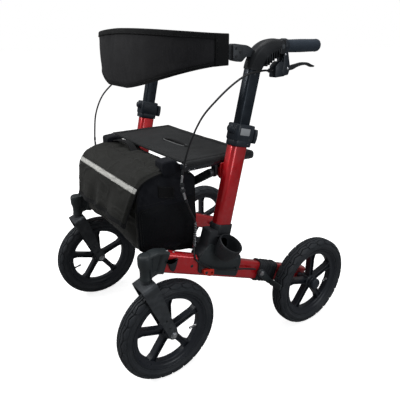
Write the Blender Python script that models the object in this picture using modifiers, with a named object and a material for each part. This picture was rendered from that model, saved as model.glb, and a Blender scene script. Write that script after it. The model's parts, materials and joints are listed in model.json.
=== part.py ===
"""Folding four-wheeled rollator with seat, backrest strap and front bag.

Metres, +Z up. The origin is on the ground, midway between the axles. The walker faces -Y, and
+X is the user's left. Most pieces come in a left and a right copy, mirrored about x = 0.
"""

import math

import bmesh
import bpy
from mathutils import Matrix, Vector

GAP = 0.0003
WELD = 0.00001
SIDES = (("left", 1), ("right", -1))

# Wheels and axles
WHEEL_RADIUS = 0.145
TYRE_WIDTH = 0.047
RIM_RADIUS = 0.110
HUB_RADIUS = 0.019
HUB_WIDTH = 0.044
AXLE_RADIUS = 0.006
AXLE_Y = 0.248
FRONT_TRACK = 0.250
REAR_TRACK = 0.303
SPOKES = 5
WHEEL_STEPS = 32

# Steering
TRAIL = 0.056
STEER_Y = -AXLE_Y - TRAIL
FORK_HALF_WIDTH = 0.033
FORK_PLATE = 0.003
CROWN_Y = -0.310
CROWN_Z = 0.311
HEAD_BOTTOM = 0.3215
STEM_RADIUS = 0.009

# Side frame
FRAME_X = 0.250
BEAM_WIDTH = 0.030
BEAM_HEIGHT = 0.056
BEAM_FRONT = Vector((0, -0.263, 0.360))
BEAM_REAR = Vector((0, AXLE_Y, WHEEL_RADIUS))
BEAM_WAY = (BEAM_REAR - BEAM_FRONT).normalized()
BEAM_UP = Vector((1, 0, 0)).cross(BEAM_WAY)
BEAM_OVERRUN = 0.022
WALL = 0.0025
BRACKET_WIDTH = 0.041
SLEEVE_WIDTH = 0.040
SLEEVE_LENGTH = 0.075

# Uprights, leaning back
LEAN = math.radians(12.9)
UPRIGHT_UP = Vector((0, math.sin(LEAN), math.cos(LEAN)))
UPRIGHT_BACK = Vector((0, math.cos(LEAN), -math.sin(LEAN)))
UPRIGHT_MIDDLE = Vector((0, -0.0475, 0.507))
OUTER_TUBE = (0.034, 0.050)
INNER_TUBE = (0.026, 0.040)
OUTER_BOTTOM = 0.328
OUTER_TOP = 0.619
CLAMP_TOP = 0.674
INNER_BOTTOM = 0.480
INNER_TOP = 0.8185

# Handles
HANDLE_X = 0.260
GRIP_Z = 0.858
GRIP_RADIUS = 0.01625
GRIP_START = 0.117
GRIP_END = 0.240
BAR_RADIUS = 0.011

# Scissor brace
BRACE_X = 0.215
BRACE_LOW = 0.300
BRACE_HIGH = 0.548
BAR_A_Y = -0.096
BAR_B_Y = -0.0815
BAR_THICKNESS = 0.012
BAR_HEIGHT = 0.022
PIN_RADIUS = 0.005
PIN_HOLE = 0.0055

# Seat
RAIL_X = 0.21825
RAIL_WIDTH = 0.0205
RAIL_BOTTOM = 0.566
RAIL_TOP = 0.590
RAIL_FRONT = -0.174
RAIL_REAR = 0.061
SEAT_FRONT = -0.164
SEAT_REAR = 0.052
SLING_THICKNESS = 0.003
SLOT_Y = -0.058
SLOT_LENGTH = 0.115
SLOT_WIDTH = 0.012

# Backrest strap
STRAP_HINGE_Y = -0.055
STRAP_HALF_WIDTH = 0.250
STRAP_BULGE = 0.156
STRAP_SQUARENESS = 3.0
STRAP_THICKNESS = 0.012

# Bag
BAG_HALF_WIDTH = 0.193
FLAP_HALF_WIDTH = 0.190
CORNER_LOW = Vector((0.152, -0.2145, 0.552))
CORNER_HIGH = Vector((0.197, -0.167, 0.588))
FLAP_HINGE_Y = -0.217
FLAP_TOP = 0.575

# Brake cables
CABLE_RADIUS = 0.0025
CABLE_BOW = {"left": 0.0, "right": 0.040}
BOWED_POINTS = 13


def clear_scene():
    for obj in list(bpy.data.objects):
        bpy.data.objects.remove(obj, do_unlink=True)


def new_collection(name):
    made = bpy.data.collections.new(name)
    bpy.context.scene.collection.children.link(made)
    return made


def paint(name, colour, roughness, metallic=0.0):
    material = bpy.data.materials.new(name)
    material.use_nodes = True
    shader = material.node_tree.nodes["Principled BSDF"]
    shader.inputs["Base Color"].default_value = (*colour, 1)
    shader.inputs["Roughness"].default_value = roughness
    shader.inputs["Metallic"].default_value = metallic
    return material


# ---------------------------------------------------------------- places


def axes_at(origin, u, v):
    """A matrix at origin whose local X and Y run along u and v."""
    u = Vector(u).normalized()
    v = Vector(v).normalized()
    matrix = Matrix((u, v, u.cross(v))).transposed().to_4x4()
    matrix.translation = Vector(origin)
    return matrix


def side_plane(x):
    """Outlines given as (y, z), extruded along X."""
    return axes_at((x, 0, 0), (0, 1, 0), (0, 0, 1))


def cross_plane(y):
    """Outlines given as (x, z), extruded along Y."""
    return axes_at((0, y, 0), (1, 0, 0), (0, 0, 1))


def level_plane(z):
    """Outlines given as (x, y), extruded along Z."""
    return Matrix.Translation((0, 0, z))


def beam_plane(side, centre):
    """Outlines given across the side beam at this point of its centre line, extruded along it."""
    return axes_at(centre + Vector((side * FRAME_X, 0, 0)), (1, 0, 0), -BEAM_UP)


def upright_at(side, z, back=0.0):
    """The point of an upright's centre line at height z."""
    along = (z - UPRIGHT_MIDDLE.z) / UPRIGHT_UP.z
    point = UPRIGHT_MIDDLE + UPRIGHT_UP * along + UPRIGHT_BACK * back
    return point + Vector((side * FRAME_X, 0, 0))


def beam_at(y):
    """The point of the side beam's centre line at this y."""
    return BEAM_FRONT + BEAM_WAY * ((y - BEAM_FRONT.y) / BEAM_WAY.y)


# ---------------------------------------------------------------- outlines


def arc(centre, radius, start, end, steps):
    """Points on an arc, angles in degrees, both ends included."""
    angles = [math.radians(start + (end - start) * i / steps) for i in range(steps + 1)]
    return [(centre[0] + radius * math.cos(a), centre[1] + radius * math.sin(a)) for a in angles]


def circle(centre, radius, steps=16):
    return arc(centre, radius, 0, 360 * (steps - 1) / steps, steps - 1)


def rounded_rectangle(width, height, radius, steps=3):
    across, up = width / 2 - radius, height / 2 - radius
    corners = ((across, up, 0), (-across, up, 90), (-across, -up, 180), (across, -up, 270))
    points = []
    for x, y, start in corners:
        points += arc((x, y), radius, start, start + 90, steps)
    return points


def rectangle(low, high):
    return [(low[0], low[1]), (high[0], low[1]), (high[0], high[1]), (low[0], high[1])]


def band(start, end, start_radius, end_radius, steps=6):
    """A bar outline with round ends, from start to end."""
    way = math.degrees(math.atan2(end[1] - start[1], end[0] - start[0]))
    points = arc(start, start_radius, way + 90, way + 270, steps)
    return points + arc(end, end_radius, way - 90, way + 90, steps)


# ---------------------------------------------------------------- solids


def add_object(name, mesh, matrix, material):
    obj = bpy.data.objects.new(name, mesh)
    parts.objects.link(obj)
    obj.matrix_world = matrix
    mesh.materials.clear()
    mesh.materials.append(material)
    return obj


def mesh_from_curve(curve, matrix, name, material):
    """Turns a curve into a closed mesh, with its caps welded on."""
    guide = bpy.data.objects.new(name + "_guide", curve)
    parts.objects.link(guide)
    bpy.context.view_layer.update()
    evaluated = guide.evaluated_get(bpy.context.evaluated_depsgraph_get())
    mesh = bpy.data.meshes.new_from_object(evaluated)
    bpy.data.objects.remove(guide)
    shape = bmesh.new()
    shape.from_mesh(mesh)
    bmesh.ops.remove_doubles(shape, verts=shape.verts, dist=WELD)
    bmesh.ops.recalc_face_normals(shape, faces=shape.faces)
    shape.to_mesh(mesh)
    shape.free()
    return add_object(name, mesh, matrix, material)


def prism(name, outlines, depth, matrix, material):
    """A flat outline, with any holes after it, extruded to depth about its plane."""
    curve = bpy.data.curves.new(name, "CURVE")
    curve.dimensions = "2D"
    curve.fill_mode = "BOTH"
    curve.extrude = depth / 2
    for outline in outlines:
        spline = curve.splines.new("POLY")
        spline.points.add(len(outline) - 1)
        for point, (u, v) in zip(spline.points, outline):
            point.co = (u, v, 0, 1)
        spline.use_cyclic_u = True
    return mesh_from_curve(curve, matrix, name, material)


def tube(name, points, radius, material, resolution=2):
    """A round bar or wire through the points."""
    curve = bpy.data.curves.new(name, "CURVE")
    curve.dimensions = "3D"
    curve.bevel_depth = radius
    curve.bevel_resolution = resolution
    curve.use_fill_caps = True
    spline = curve.splines.new("POLY")
    spline.points.add(len(points) - 1)
    for point, place in zip(spline.points, points):
        point.co = (*place, 1)
    return mesh_from_curve(curve, Matrix(), name, material)


def turned(name, profile, matrix, material, steps=20, ring=False):
    """A profile of (radius, height) points turned about the local Z axis."""
    mesh = bpy.data.meshes.new(name)
    edges = [(i, i + 1) for i in range(len(profile) - 1)]
    if ring:
        edges.append((len(profile) - 1, 0))
    mesh.from_pydata([(r, 0, h) for r, h in profile], edges, [])
    obj = add_object(name, mesh, matrix, material)
    screw = obj.modifiers.new("Turn", "SCREW")
    screw.steps = steps
    screw.render_steps = steps
    screw.use_merge_vertices = True
    screw.merge_threshold = WELD
    return obj


def cylinder(name, start, end, radius, material, steps=16):
    """A solid round bar between two points."""
    start, end = Vector(start), Vector(end)
    way = (end - start).normalized()
    shape = bmesh.new()
    bmesh.ops.create_cone(
        shape, cap_ends=True, segments=steps, radius1=radius, radius2=radius, depth=(end - start).length
    )
    mesh = bpy.data.meshes.new(name)
    shape.to_mesh(mesh)
    shape.free()
    matrix = Vector((0, 0, 1)).rotation_difference(way).to_matrix().to_4x4()
    matrix.translation = (start + end) / 2
    return add_object(name, mesh, matrix, material)


def block(name, low, high, material):
    """A box between two corners, along the world axes."""
    low, high = Vector(low), Vector(high)
    shape = bmesh.new()
    bmesh.ops.create_cube(shape, size=1)
    bmesh.ops.scale(shape, vec=high - low, verts=shape.verts)
    mesh = bpy.data.meshes.new(name)
    shape.to_mesh(mesh)
    shape.free()
    return add_object(name, mesh, Matrix.Translation((low + high) / 2), material)


def round_edges(obj, width, segments=2):
    bevel = obj.modifiers.new("Rounded edges", "BEVEL")
    bevel.width = width
    bevel.segments = segments
    bevel.limit_method = "ANGLE"
    bevel.angle_limit = math.radians(50)
    return obj


def combine(target, operation, *others):
    for other in others:
        step = target.modifiers.new(operation.title(), "BOOLEAN")
        step.operation = operation
        step.solver = "EXACT"
        step.object = other
        parts.objects.unlink(other)
        cutters.objects.link(other)
        other.hide_render = True
        other.display_type = "WIRE"
    return target


def join(target, *others):
    return combine(target, "UNION", *others)


def cut(target, *others):
    return combine(target, "DIFFERENCE", *others)


def set_origin(name, point):
    """Puts an object's origin on its joint's axis and leaves its shape where it is."""
    obj = bpy.data.objects[name]
    local = obj.matrix_world.inverted() @ Vector(point)
    obj.data.transform(Matrix.Translation(-local))
    obj.matrix_world.translation = point


# ---------------------------------------------------------------- wheels


def wheel_axes(side, x, y):
    """A matrix at a wheel's centre whose local Z runs outwards."""
    return axes_at((side * x, y, WHEEL_RADIUS), (0, side, 0), (0, 0, 1))


def make_tyre(name, matrix):
    half = TYRE_WIDTH / 2
    shoulder = WHEEL_RADIUS - 0.0035
    wall = WHEEL_RADIUS - 0.012
    profile = [(wall, half), (shoulder, half * 0.78), (WHEEL_RADIUS, half * 0.35)]
    profile += [(WHEEL_RADIUS, -half * 0.35), (shoulder, -half * 0.78), (wall, -half)]
    profile += [(RIM_RADIUS + 0.004, -half * 0.8), (RIM_RADIUS + GAP, -half * 0.55)]
    profile += [(RIM_RADIUS + GAP, half * 0.55), (RIM_RADIUS + 0.004, half * 0.8)]
    return turned(name, profile, matrix, rubber, WHEEL_STEPS, ring=True)


def make_rim(name, matrix):
    half = TYRE_WIDTH / 2
    ring = [(RIM_RADIUS, half * 0.55), (RIM_RADIUS, -half * 0.55), (RIM_RADIUS - 0.016, -half * 0.4)]
    ring += [(RIM_RADIUS - 0.016, half * 0.4)]
    rim = turned(name, ring, matrix, plastic, WHEEL_STEPS, ring=True)
    reach = RIM_RADIUS - 0.010
    for number in range(SPOKES):
        turn = Matrix.Rotation(math.radians(18 + 360 * number / SPOKES), 4, "Z")
        spoke = rectangle((HUB_RADIUS - 0.010, -0.007), (reach, 0.007))
        join(rim, prism(f"{name}_spoke_{number}", [spoke], 0.018, matrix @ turn, plastic))
    hub = [(HUB_RADIUS, HUB_WIDTH / 2), (HUB_RADIUS, -HUB_WIDTH / 2)]
    hub += [(AXLE_RADIUS + 0.0004, -HUB_WIDTH / 2), (AXLE_RADIUS + 0.0004, HUB_WIDTH / 2)]
    join(rim, turned(name + "_hub", hub, matrix, plastic, ring=True))
    return rim


def make_wheels():
    for side_name, side in SIDES:
        for place, x, y in (("front", FRONT_TRACK, -AXLE_Y), ("rear", REAR_TRACK, AXLE_Y)):
            matrix = wheel_axes(side, x, y)
            make_tyre(f"{side_name}_{place}_tyre", matrix)
            make_rim(f"{side_name}_{place}_rim", matrix)


def make_rear_axle(side_name, side):
    """A bolt through the beam and the hub, with a round cap outside."""
    matrix = wheel_axes(side, 0, AXLE_Y)
    cap_start = REAR_TRACK + HUB_WIDTH / 2 + 0.001
    inner = FRAME_X - BEAM_WIDTH / 2 - 0.006
    collar = FRAME_X + BEAM_WIDTH / 2 + GAP
    hub_face = REAR_TRACK - HUB_WIDTH / 2 - 0.001
    profile = [(0, cap_start + 0.012), (0.011, cap_start + 0.011), (0.0165, cap_start + 0.007)]
    profile += [(0.018, cap_start), (AXLE_RADIUS, cap_start), (AXLE_RADIUS, hub_face)]
    profile += [(0.010, hub_face), (0.010, collar), (AXLE_RADIUS, collar)]
    profile += [(AXLE_RADIUS, inner), (0, inner)]
    turned(f"{side_name}_rear_axle", profile, matrix, steel)


def make_front_axle(side_name, side):
    """A bolt through both fork legs and the hub."""
    matrix = wheel_axes(side, FRONT_TRACK, -AXLE_Y)
    leg = FORK_HALF_WIDTH + GAP
    end = leg + 0.005
    profile = [(0, end), (0.009, end), (0.009, leg), (PIN_RADIUS, leg)]
    profile += [(PIN_RADIUS, -leg), (0.009, -leg), (0.009, -end), (0, -end)]
    turned(f"{side_name}_front_axle", profile, matrix, steel)


# ---------------------------------------------------------------- steering


def make_fork(side_name, side):
    """A plate bent into an inverted U, with the steering stem on its crown."""
    name = f"{side_name}_fork"
    crown = Vector((0, CROWN_Y, CROWN_Z))
    axle = Vector((0, -AXLE_Y, WHEEL_RADIUS))
    down = (axle - crown).normalized()
    reach = (axle - crown).length
    across = Vector((1, 0, 0)).cross(down)
    leg_outline = arc((0, reach), 0.015, 0, 180, 8) + [(-0.021, 0), (0.021, 0)]
    leg_hole = circle((0, reach), PIN_HOLE)
    legs = []
    for hand in (-1, 1):
        x = side * FRONT_TRACK + hand * (FORK_HALF_WIDTH - FORK_PLATE / 2)
        matrix = axes_at(crown + Vector((x, 0, 0)), across, down)
        legs.append(prism(f"{name}_leg_{hand}", [leg_outline, leg_hole], FORK_PLATE, matrix, metal))
    plate = prism(
        name,
        [rectangle((-FORK_HALF_WIDTH, -0.021), (FORK_HALF_WIDTH, 0.021))],
        FORK_PLATE,
        axes_at(crown + Vector((side * FRONT_TRACK, 0, 0)), (1, 0, 0), across),
        metal,
    )
    foot = (side * FRONT_TRACK, STEER_Y, CROWN_Z - 0.0025)
    top = (side * FRONT_TRACK, STEER_Y, HEAD_BOTTOM + 0.030)
    stem = cylinder(name + "_stem", foot, top, STEM_RADIUS, metal)
    seat_top = (side * FRONT_TRACK, STEER_Y, HEAD_BOTTOM - 0.0007)
    seat = cylinder(name + "_stem_seat", foot, seat_top, 0.0135, metal)
    join(plate, *legs, stem, seat)


def make_head(side_name, side):
    """The steering tube and the arm that carries it on the front of the beam."""
    name = f"{side_name}_head_casting"
    centre = Matrix.Translation((side * FRAME_X, STEER_Y, 0))
    bore = STEM_RADIUS + 0.0004
    profile = [(0, 0.391), (0.013, 0.390), (0.0185, 0.384), (0.0185, 0.362), (0.0145, 0.348)]
    profile += [(0.0145, HEAD_BOTTOM), (bore, HEAD_BOTTOM)]
    profile += [(bore, HEAD_BOTTOM + 0.031), (0, HEAD_BOTTOM + 0.031)]
    head = turned(name, profile, centre, metal)
    end = BEAM_FRONT - BEAM_WAY * 0.0005
    top = end + BEAM_UP * BEAM_HEIGHT / 2
    low = end - BEAM_UP * BEAM_HEIGHT / 2
    outline = [(STEER_Y + 0.012, 0.386), (STEER_Y + 0.026, 0.390), (top.y, top.z)]
    outline += [(low.y, low.z), (STEER_Y + 0.022, 0.328), (STEER_Y + 0.012, 0.324)]
    join(head, prism(name + "_arm", [outline], BEAM_WIDTH, side_plane(side * FRAME_X), metal))


# ---------------------------------------------------------------- side frame


def beam_section(grow=0.0):
    return rounded_rectangle(BEAM_WIDTH + 2 * grow, BEAM_HEIGHT + 2 * grow, 0.009 + grow)


def upright_section(size, radius, grow=0.0):
    return rounded_rectangle(size[0] + 2 * grow, size[1] + 2 * grow, radius + grow)


def upright_prism(name, outlines, side, low, high, material):
    """A section extruded along the upright, between two heights."""
    start, end = upright_at(side, low), upright_at(side, high)
    matrix = axes_at((start + end) / 2, (1, 0, 0), UPRIGHT_BACK)
    return prism(name, outlines, (end - start).length, matrix, material)


def make_beam(side_name, side):
    end = BEAM_REAR + BEAM_WAY * BEAM_OVERRUN
    centre = (BEAM_FRONT + end) / 2
    name = f"{side_name}_side_beam"
    sections = [beam_section(), beam_section(-WALL)]
    beam = prism(name, sections, (end - BEAM_FRONT).length, beam_plane(side, centre), red)
    hole_ends = [(side * x, AXLE_Y, WHEEL_RADIUS) for x in (FRAME_X - 0.03, FRAME_X + 0.03)]
    cut(beam, cylinder(name + "_hole", *hole_ends, AXLE_RADIUS + GAP, red))


def make_foot_bracket(side_name, side, lug_y, pin_end):
    """The housing round the beam and the upright's foot, with the lug and pin of the brace."""
    name = f"{side_name}_foot_bracket"
    outline = [(-0.118, 0.411), (-0.063, 0.399), (-0.049, 0.345), (-0.014, 0.306)]
    outline += [(-0.012, 0.282), (-0.029, 0.241), (-0.158, 0.296), (-0.157, 0.348), (-0.132, 0.362)]
    bracket = prism(name, [outline], BRACKET_WIDTH, side_plane(side * FRAME_X), plastic)
    inner, outer = sorted((side * 0.203, side * 0.2335))
    low = (inner, lug_y - 0.005, BRACE_LOW - 0.014)
    high = (outer, lug_y + 0.005, BRACE_LOW + 0.014)
    join(bracket, block(name + "_lug", low, high, plastic))
    pin = ((side * BRACE_X, lug_y, BRACE_LOW), (side * BRACE_X, pin_end, BRACE_LOW))
    join(bracket, cylinder(name + "_pin", *pin, PIN_RADIUS, plastic))
    centre = beam_at(-0.085)
    beam_room = prism(name + "_beam", [beam_section(GAP)], 0.3, beam_plane(side, centre), red)
    section = upright_section(OUTER_TUBE, 0.010, GAP)
    tube_room = upright_prism(name + "_tube", [section], side, OUTER_BOTTOM - 0.03, 0.45, red)
    cut(bracket, beam_room, tube_room)


def make_beam_sleeve(side_name, side):
    """The collar on the rear of the beam, with the brake arm's pivot pin."""
    name = f"{side_name}_beam_sleeve"
    outlines = [rounded_rectangle(SLEEVE_WIDTH, 0.065, 0.012), beam_section(GAP)]
    sleeve = prism(name, outlines, SLEEVE_LENGTH, beam_plane(side, beam_at(0.094)), plastic)
    pivot = brake_pivot(side)
    start = pivot - Vector((side * 0.003, 0, 0))
    end = pivot + Vector((side * 0.0105, 0, 0))
    join(sleeve, cylinder(name + "_pin", start, end, PIN_RADIUS, plastic))


def brake_pivot(side):
    point = beam_at(0.064)
    return Vector((side * (FRAME_X + SLEEVE_WIDTH / 2), point.y, point.z))


def make_brake_arm(side_name, side):
    """The arm from the sleeve to the tyre, with a pad across the tread."""
    name = f"{side_name}_brake_arm"
    pivot = brake_pivot(side)
    axle = Vector((0, AXLE_Y, WHEEL_RADIUS))
    out = Vector((0, -0.970, 0.243))
    pad_centre = axle + out * (WHEEL_RADIUS + 0.0085)
    outline = band((pivot.y, pivot.z), (pad_centre.y, pad_centre.z), 0.012, 0.009)
    x = side * (FRAME_X + SLEEVE_WIDTH / 2 + 0.0045)
    hole = circle((pivot.y, pivot.z), PIN_HOLE)
    arm = prism(name, [outline, hole], 0.008, side_plane(x), metal)
    along = Vector((1, 0, 0)).cross(out)
    matrix = axes_at(pad_centre + Vector((side * 0.294, 0, 0)), along, (1, 0, 0))
    pad_outline = rectangle((-0.009, -0.0225), (0.009, 0.0225))
    join(arm, prism(name + "_pad", [pad_outline], 0.008, matrix, metal))


def make_upright(side_name, side):
    outlines = [upright_section(OUTER_TUBE, 0.010), upright_section(INNER_TUBE, 0.006, GAP)]
    upright_prism(f"{side_name}_upright", outlines, side, OUTER_BOTTOM, OUTER_TOP, red)


def make_rail_saddle(side_name, side):
    """The boss on the inside of the upright that the seat rail rests on."""
    xs = sorted((side * 0.2095, side * (FRAME_X - OUTER_TUBE[0] / 2 - GAP)))
    low = (xs[0], -0.062, 0.531)
    high = (xs[1], -0.034, RAIL_BOTTOM - GAP)
    round_edges(block(f"{side_name}_rail_saddle", low, high, red), 0.004)


def make_clamp(side_name, side):
    """The collar at the top of the outer tube, its knob, and the quick-release lever."""
    name = f"{side_name}_clamp_collar"
    start, end = upright_at(side, OUTER_TOP + 0.0006), upright_at(side, CLAMP_TOP)
    shift = Vector((side * 0.003, 0, 0))
    outer = rounded_rectangle(0.044, 0.062, 0.009)
    hole = [(x - side * 0.003, y) for x, y in upright_section(INNER_TUBE, 0.006, GAP)]
    matrix = axes_at((start + end) / 2 + shift, (1, 0, 0), UPRIGHT_BACK)
    collar = prism(name, [outer, hole], (end - start).length, matrix, plastic)
    knob_base = upright_at(side, 0.660, -0.029) + shift
    knob_end = knob_base - UPRIGHT_BACK * 0.013
    join(collar, cylinder(name + "_knob", knob_base, knob_end, 0.011, plastic))
    lever_middle = upright_at(side, 0.648, 0.0385) + shift
    lever_axes = axes_at(lever_middle, (1, 0, 0), UPRIGHT_BACK)
    outline = rounded_rectangle(0.040, 0.014, 0.0065)
    prism(f"{side_name}_clamp_lever", [outline], 0.036, lever_axes, plastic)


def make_cane_cup():
    """The open cup on the outside of the left foot bracket."""
    out = Vector((0.441, 0.259, 0.860)).normalized()
    rim = Vector((0.3025, -0.0765, 0.3755))
    sideways = out.cross((0, 0, 1)).normalized()
    matrix = axes_at(rim, sideways, out.cross(sideways))
    profile = [(0, -0.042), (0.023, -0.042), (0.0298, -0.015), (0.0298, 0)]
    profile += [(0.033, 0), (0.033, -0.016), (0.026, -0.046), (0, -0.046)]
    cup = turned("cane_cup", profile, matrix, plastic, 28)
    face = FRAME_X + BRACKET_WIDTH / 2 + GAP
    cut(cup, block("cane_cup_face", (face - 0.1, -0.2, 0.2), (face, 0.1, 0.5), plastic))


def make_hook():
    """The forked hook on the outside of the left beam."""
    outline = [(-0.2560, 0.3665), (-0.2490, 0.3600), (-0.2400, 0.3560), (-0.2280, 0.3600), (-0.2210, 0.3640)]
    outline += [(-0.2265, 0.3480), (-0.2310, 0.3350), (-0.2375, 0.3290), (-0.2445, 0.3360), (-0.2480, 0.3500)]
    start = FRAME_X + BEAM_WIDTH / 2 + GAP
    prism("bag_hook", [outline], 0.008, side_plane(start + 0.004), plastic)


def make_fold_latch():
    """The latch on the outside of the left foot bracket, on its own pin."""
    face = FRAME_X + BRACKET_WIDTH / 2
    outline = band((-0.142, 0.299), (-0.126, 0.293), 0.008, 0.010)
    hole = circle((-0.142, 0.299), 0.0033, 12)
    prism("fold_latch", [outline, hole], 0.012, side_plane(face + GAP + 0.006), orange)
    ends = [(face + x, -0.142, 0.299) for x in (-0.002, 0.011)]
    join(bpy.data.objects["left_foot_bracket"], cylinder("fold_latch_pin", *ends, 0.0028, plastic))


# ---------------------------------------------------------------- handles


def make_inner_tube(side_name, side):
    sections = [upright_section(INNER_TUBE, 0.006), upright_section(INNER_TUBE, 0.006, -WALL)]
    upright_prism(f"{side_name}_inner_tube", sections, side, INNER_BOTTOM, INNER_TOP, metal)


def make_elbow(side_name, side):
    """The gooseneck from the inner tube to the grip bar."""
    name = f"{side_name}_elbow"
    top = upright_at(side, INNER_TOP) + UPRIGHT_UP * GAP
    front = top - UPRIGHT_BACK * 0.031
    back = top + UPRIGHT_BACK * 0.026
    outline = [(front.y, front.z), (back.y, back.z), (0.073, 0.824), (0.104, 0.845), (0.1035, 0.875)]
    outline += [(0.060, 0.875), (0.034, 0.868), (0.006, 0.853), (-0.010, 0.838)]
    elbow = prism(name, [outline], 0.036, side_plane(side * HANDLE_X), plastic)
    bar = ((side * HANDLE_X, 0.090, GRIP_Z), (side * HANDLE_X, GRIP_END - 0.016, GRIP_Z))
    join(elbow, cylinder(name + "_bar", *bar, BAR_RADIUS, plastic))


def make_grip(side_name, side):
    matrix = axes_at((side * HANDLE_X, 0, GRIP_Z), (0, 0, 1), (1, 0, 0))
    bore = BAR_RADIUS + GAP
    profile = [(0, GRIP_END), (0.010, GRIP_END - 0.001), (0.015, GRIP_END - 0.006)]
    profile += [(GRIP_RADIUS, GRIP_END - 0.012), (GRIP_RADIUS, GRIP_START), (bore, GRIP_START)]
    profile += [(bore, GRIP_END - 0.0155), (0, GRIP_END - 0.0155)]
    turned(f"{side_name}_grip", profile, matrix, rubber)


def make_brake_housing(side_name, side):
    """The clamp round the grip bar, the body below it and the lever's pivot pin."""
    name = f"{side_name}_brake_housing"
    outline = [(0.078, 0.783), (0.122, 0.786), (0.129, 0.806), (0.124, 0.822), (0.1165, 0.842)]
    outline += [(0.1165, 0.868), (0.1045, 0.874), (0.1045, 0.842), (0.090, 0.824), (0.078, 0.812)]
    housing = prism(name, [outline], 0.026, side_plane(side * HANDLE_X), plastic)
    middle = side * HANDLE_X
    ends = [(middle, y, GRIP_Z) for y in (0.095, 0.130)]
    bore = cylinder(name + "_bore", *ends, BAR_RADIUS + GAP, plastic)
    slot_low, slot_high = (middle - 0.0085, 0.1135, 0.780), (middle + 0.0085, 0.140, 0.830)
    slot = block(name + "_slot", slot_low, slot_high, plastic)
    cut(housing, bore, slot)
    ends = [(middle + x, 0.120, 0.804) for x in (-0.0095, 0.0095)]
    join(housing, cylinder(name + "_pin", *ends, 0.003, plastic, 12))


def make_brake_lever(side_name, side):
    outline = arc((0.120, 0.804), 0.006, 90, 270, 6) + [(0.150, 0.801), (0.176, 0.807)]
    outline += [(0.205, 0.806), (0.226, 0.801), (0.230, 0.805), (0.226, 0.809)]
    outline += [(0.205, 0.814), (0.176, 0.815), (0.150, 0.810)]
    hole = circle((0.120, 0.804), 0.0034, 12)
    prism(f"{side_name}_brake_lever", [outline, hole], 0.016, side_plane(side * HANDLE_X), plastic)


def make_strap_bracket(side_name, side):
    """The plate on the front of the elbow that carries the backrest's hinge."""
    outline = [(-0.049, 0.829), (-0.0215, 0.824), (-0.0125, 0.838), (0.003, 0.854), (-0.006, 0.868)]
    outline += [(-0.049, 0.868)]
    prism(f"{side_name}_strap_bracket", [outline], 0.020, side_plane(side * FRAME_X), metal)


# ---------------------------------------------------------------- strap, seat and brace


def strap_point(turn):
    """A point of the strap's plan curve: 0 at the handle, 1 at the middle of the back."""
    angle = turn * math.pi / 2
    power = 2 / STRAP_SQUARENESS
    x = STRAP_HALF_WIDTH * math.cos(angle) ** power if turn < 1 else 0.0
    y = STRAP_HINGE_Y - 0.006 - STRAP_BULGE * math.sin(angle) ** power
    return x, y


def make_strap_half(side_name, side):
    """A padded sheet, taller towards the middle of the back."""
    steps = 12
    shape = bmesh.new()
    rows = []
    for step in range(steps + 1):
        turn = step / steps
        x, y = strap_point(turn)
        x = max(x, 0.0015)
        rise = turn**1.5
        low, high = 0.818 - 0.059 * rise, 0.888 + 0.017 * turn
        rows.append([shape.verts.new((side * x, y, z)) for z in (low, (low + high) / 2, high)])
    for first, second in zip(rows, rows[1:]):
        for i in range(2):
            shape.faces.new((first[i], first[i + 1], second[i + 1], second[i]))
    bmesh.ops.recalc_face_normals(shape, faces=shape.faces)
    mesh = bpy.data.meshes.new(f"{side_name}_strap")
    shape.to_mesh(mesh)
    shape.free()
    strap = add_object(f"{side_name}_strap", mesh, Matrix(), fabric)
    pad = strap.modifiers.new("Padding", "SOLIDIFY")
    pad.thickness = STRAP_THICKNESS
    pad.offset = 0


def make_seat_rail(side_name, side, lug_y, pin_end):
    """The rail along the seat's edge, with the lug and pin of the brace."""
    name = f"{side_name}_seat_rail"
    middle = (RAIL_BOTTOM + RAIL_TOP) / 2
    outline = rounded_rectangle(RAIL_WIDTH, RAIL_TOP - RAIL_BOTTOM, 0.006)
    section = [(x + side * RAIL_X, z + middle) for x, z in outline]
    length, middle_y = RAIL_REAR - RAIL_FRONT, (RAIL_FRONT + RAIL_REAR) / 2
    rail = prism(name, [section], length, cross_plane(middle_y), plastic)
    half = RAIL_WIDTH / 2
    lug = block(
        name + "_lug",
        (side * RAIL_X - half, lug_y - 0.004, BRACE_HIGH - 0.012),
        (side * RAIL_X + half, lug_y + 0.004, RAIL_BOTTOM + 0.004),
        plastic,
    )
    pin = ((side * BRACE_X, lug_y, BRACE_HIGH), (side * BRACE_X, pin_end, BRACE_HIGH))
    join(rail, lug, cylinder(name + "_pin", *pin, PIN_RADIUS, plastic))


def make_sling_half(side_name, side):
    """Half of the fabric seat, with half of the grip slot."""
    edge = RAIL_X - RAIL_WIDTH / 2 - 0.0005
    slot_low, slot_high = SLOT_Y - SLOT_WIDTH / 2, SLOT_Y + SLOT_WIDTH / 2
    outline = [(edge, SEAT_FRONT), (edge, SEAT_REAR), (0.0015, SEAT_REAR), (0.0015, slot_high)]
    outline += [(SLOT_LENGTH / 2, slot_high), (SLOT_LENGTH / 2, slot_low)]
    outline += [(0.0015, slot_low), (0.0015, SEAT_FRONT)]
    outline = [(side * x, y) for x, y in outline]
    plane = level_plane(RAIL_TOP - SLING_THICKNESS / 2)
    prism(f"{side_name}_sling", [outline], SLING_THICKNESS, plane, fabric)


def make_brace_bar(name, low_side, y):
    """A crossing bar, from the lower pivot of one side to the upper pivot of the other."""
    low = (low_side * BRACE_X, BRACE_LOW)
    high = (-low_side * BRACE_X, BRACE_HIGH)
    middle = (0, (BRACE_LOW + BRACE_HIGH) / 2)
    holes = [circle(place, PIN_HOLE) for place in (low, middle, high)]
    outline = band(low, high, BAR_HEIGHT / 2, BAR_HEIGHT / 2)
    prism(name, [outline, *holes], BAR_THICKNESS, cross_plane(y), metal)


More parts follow.
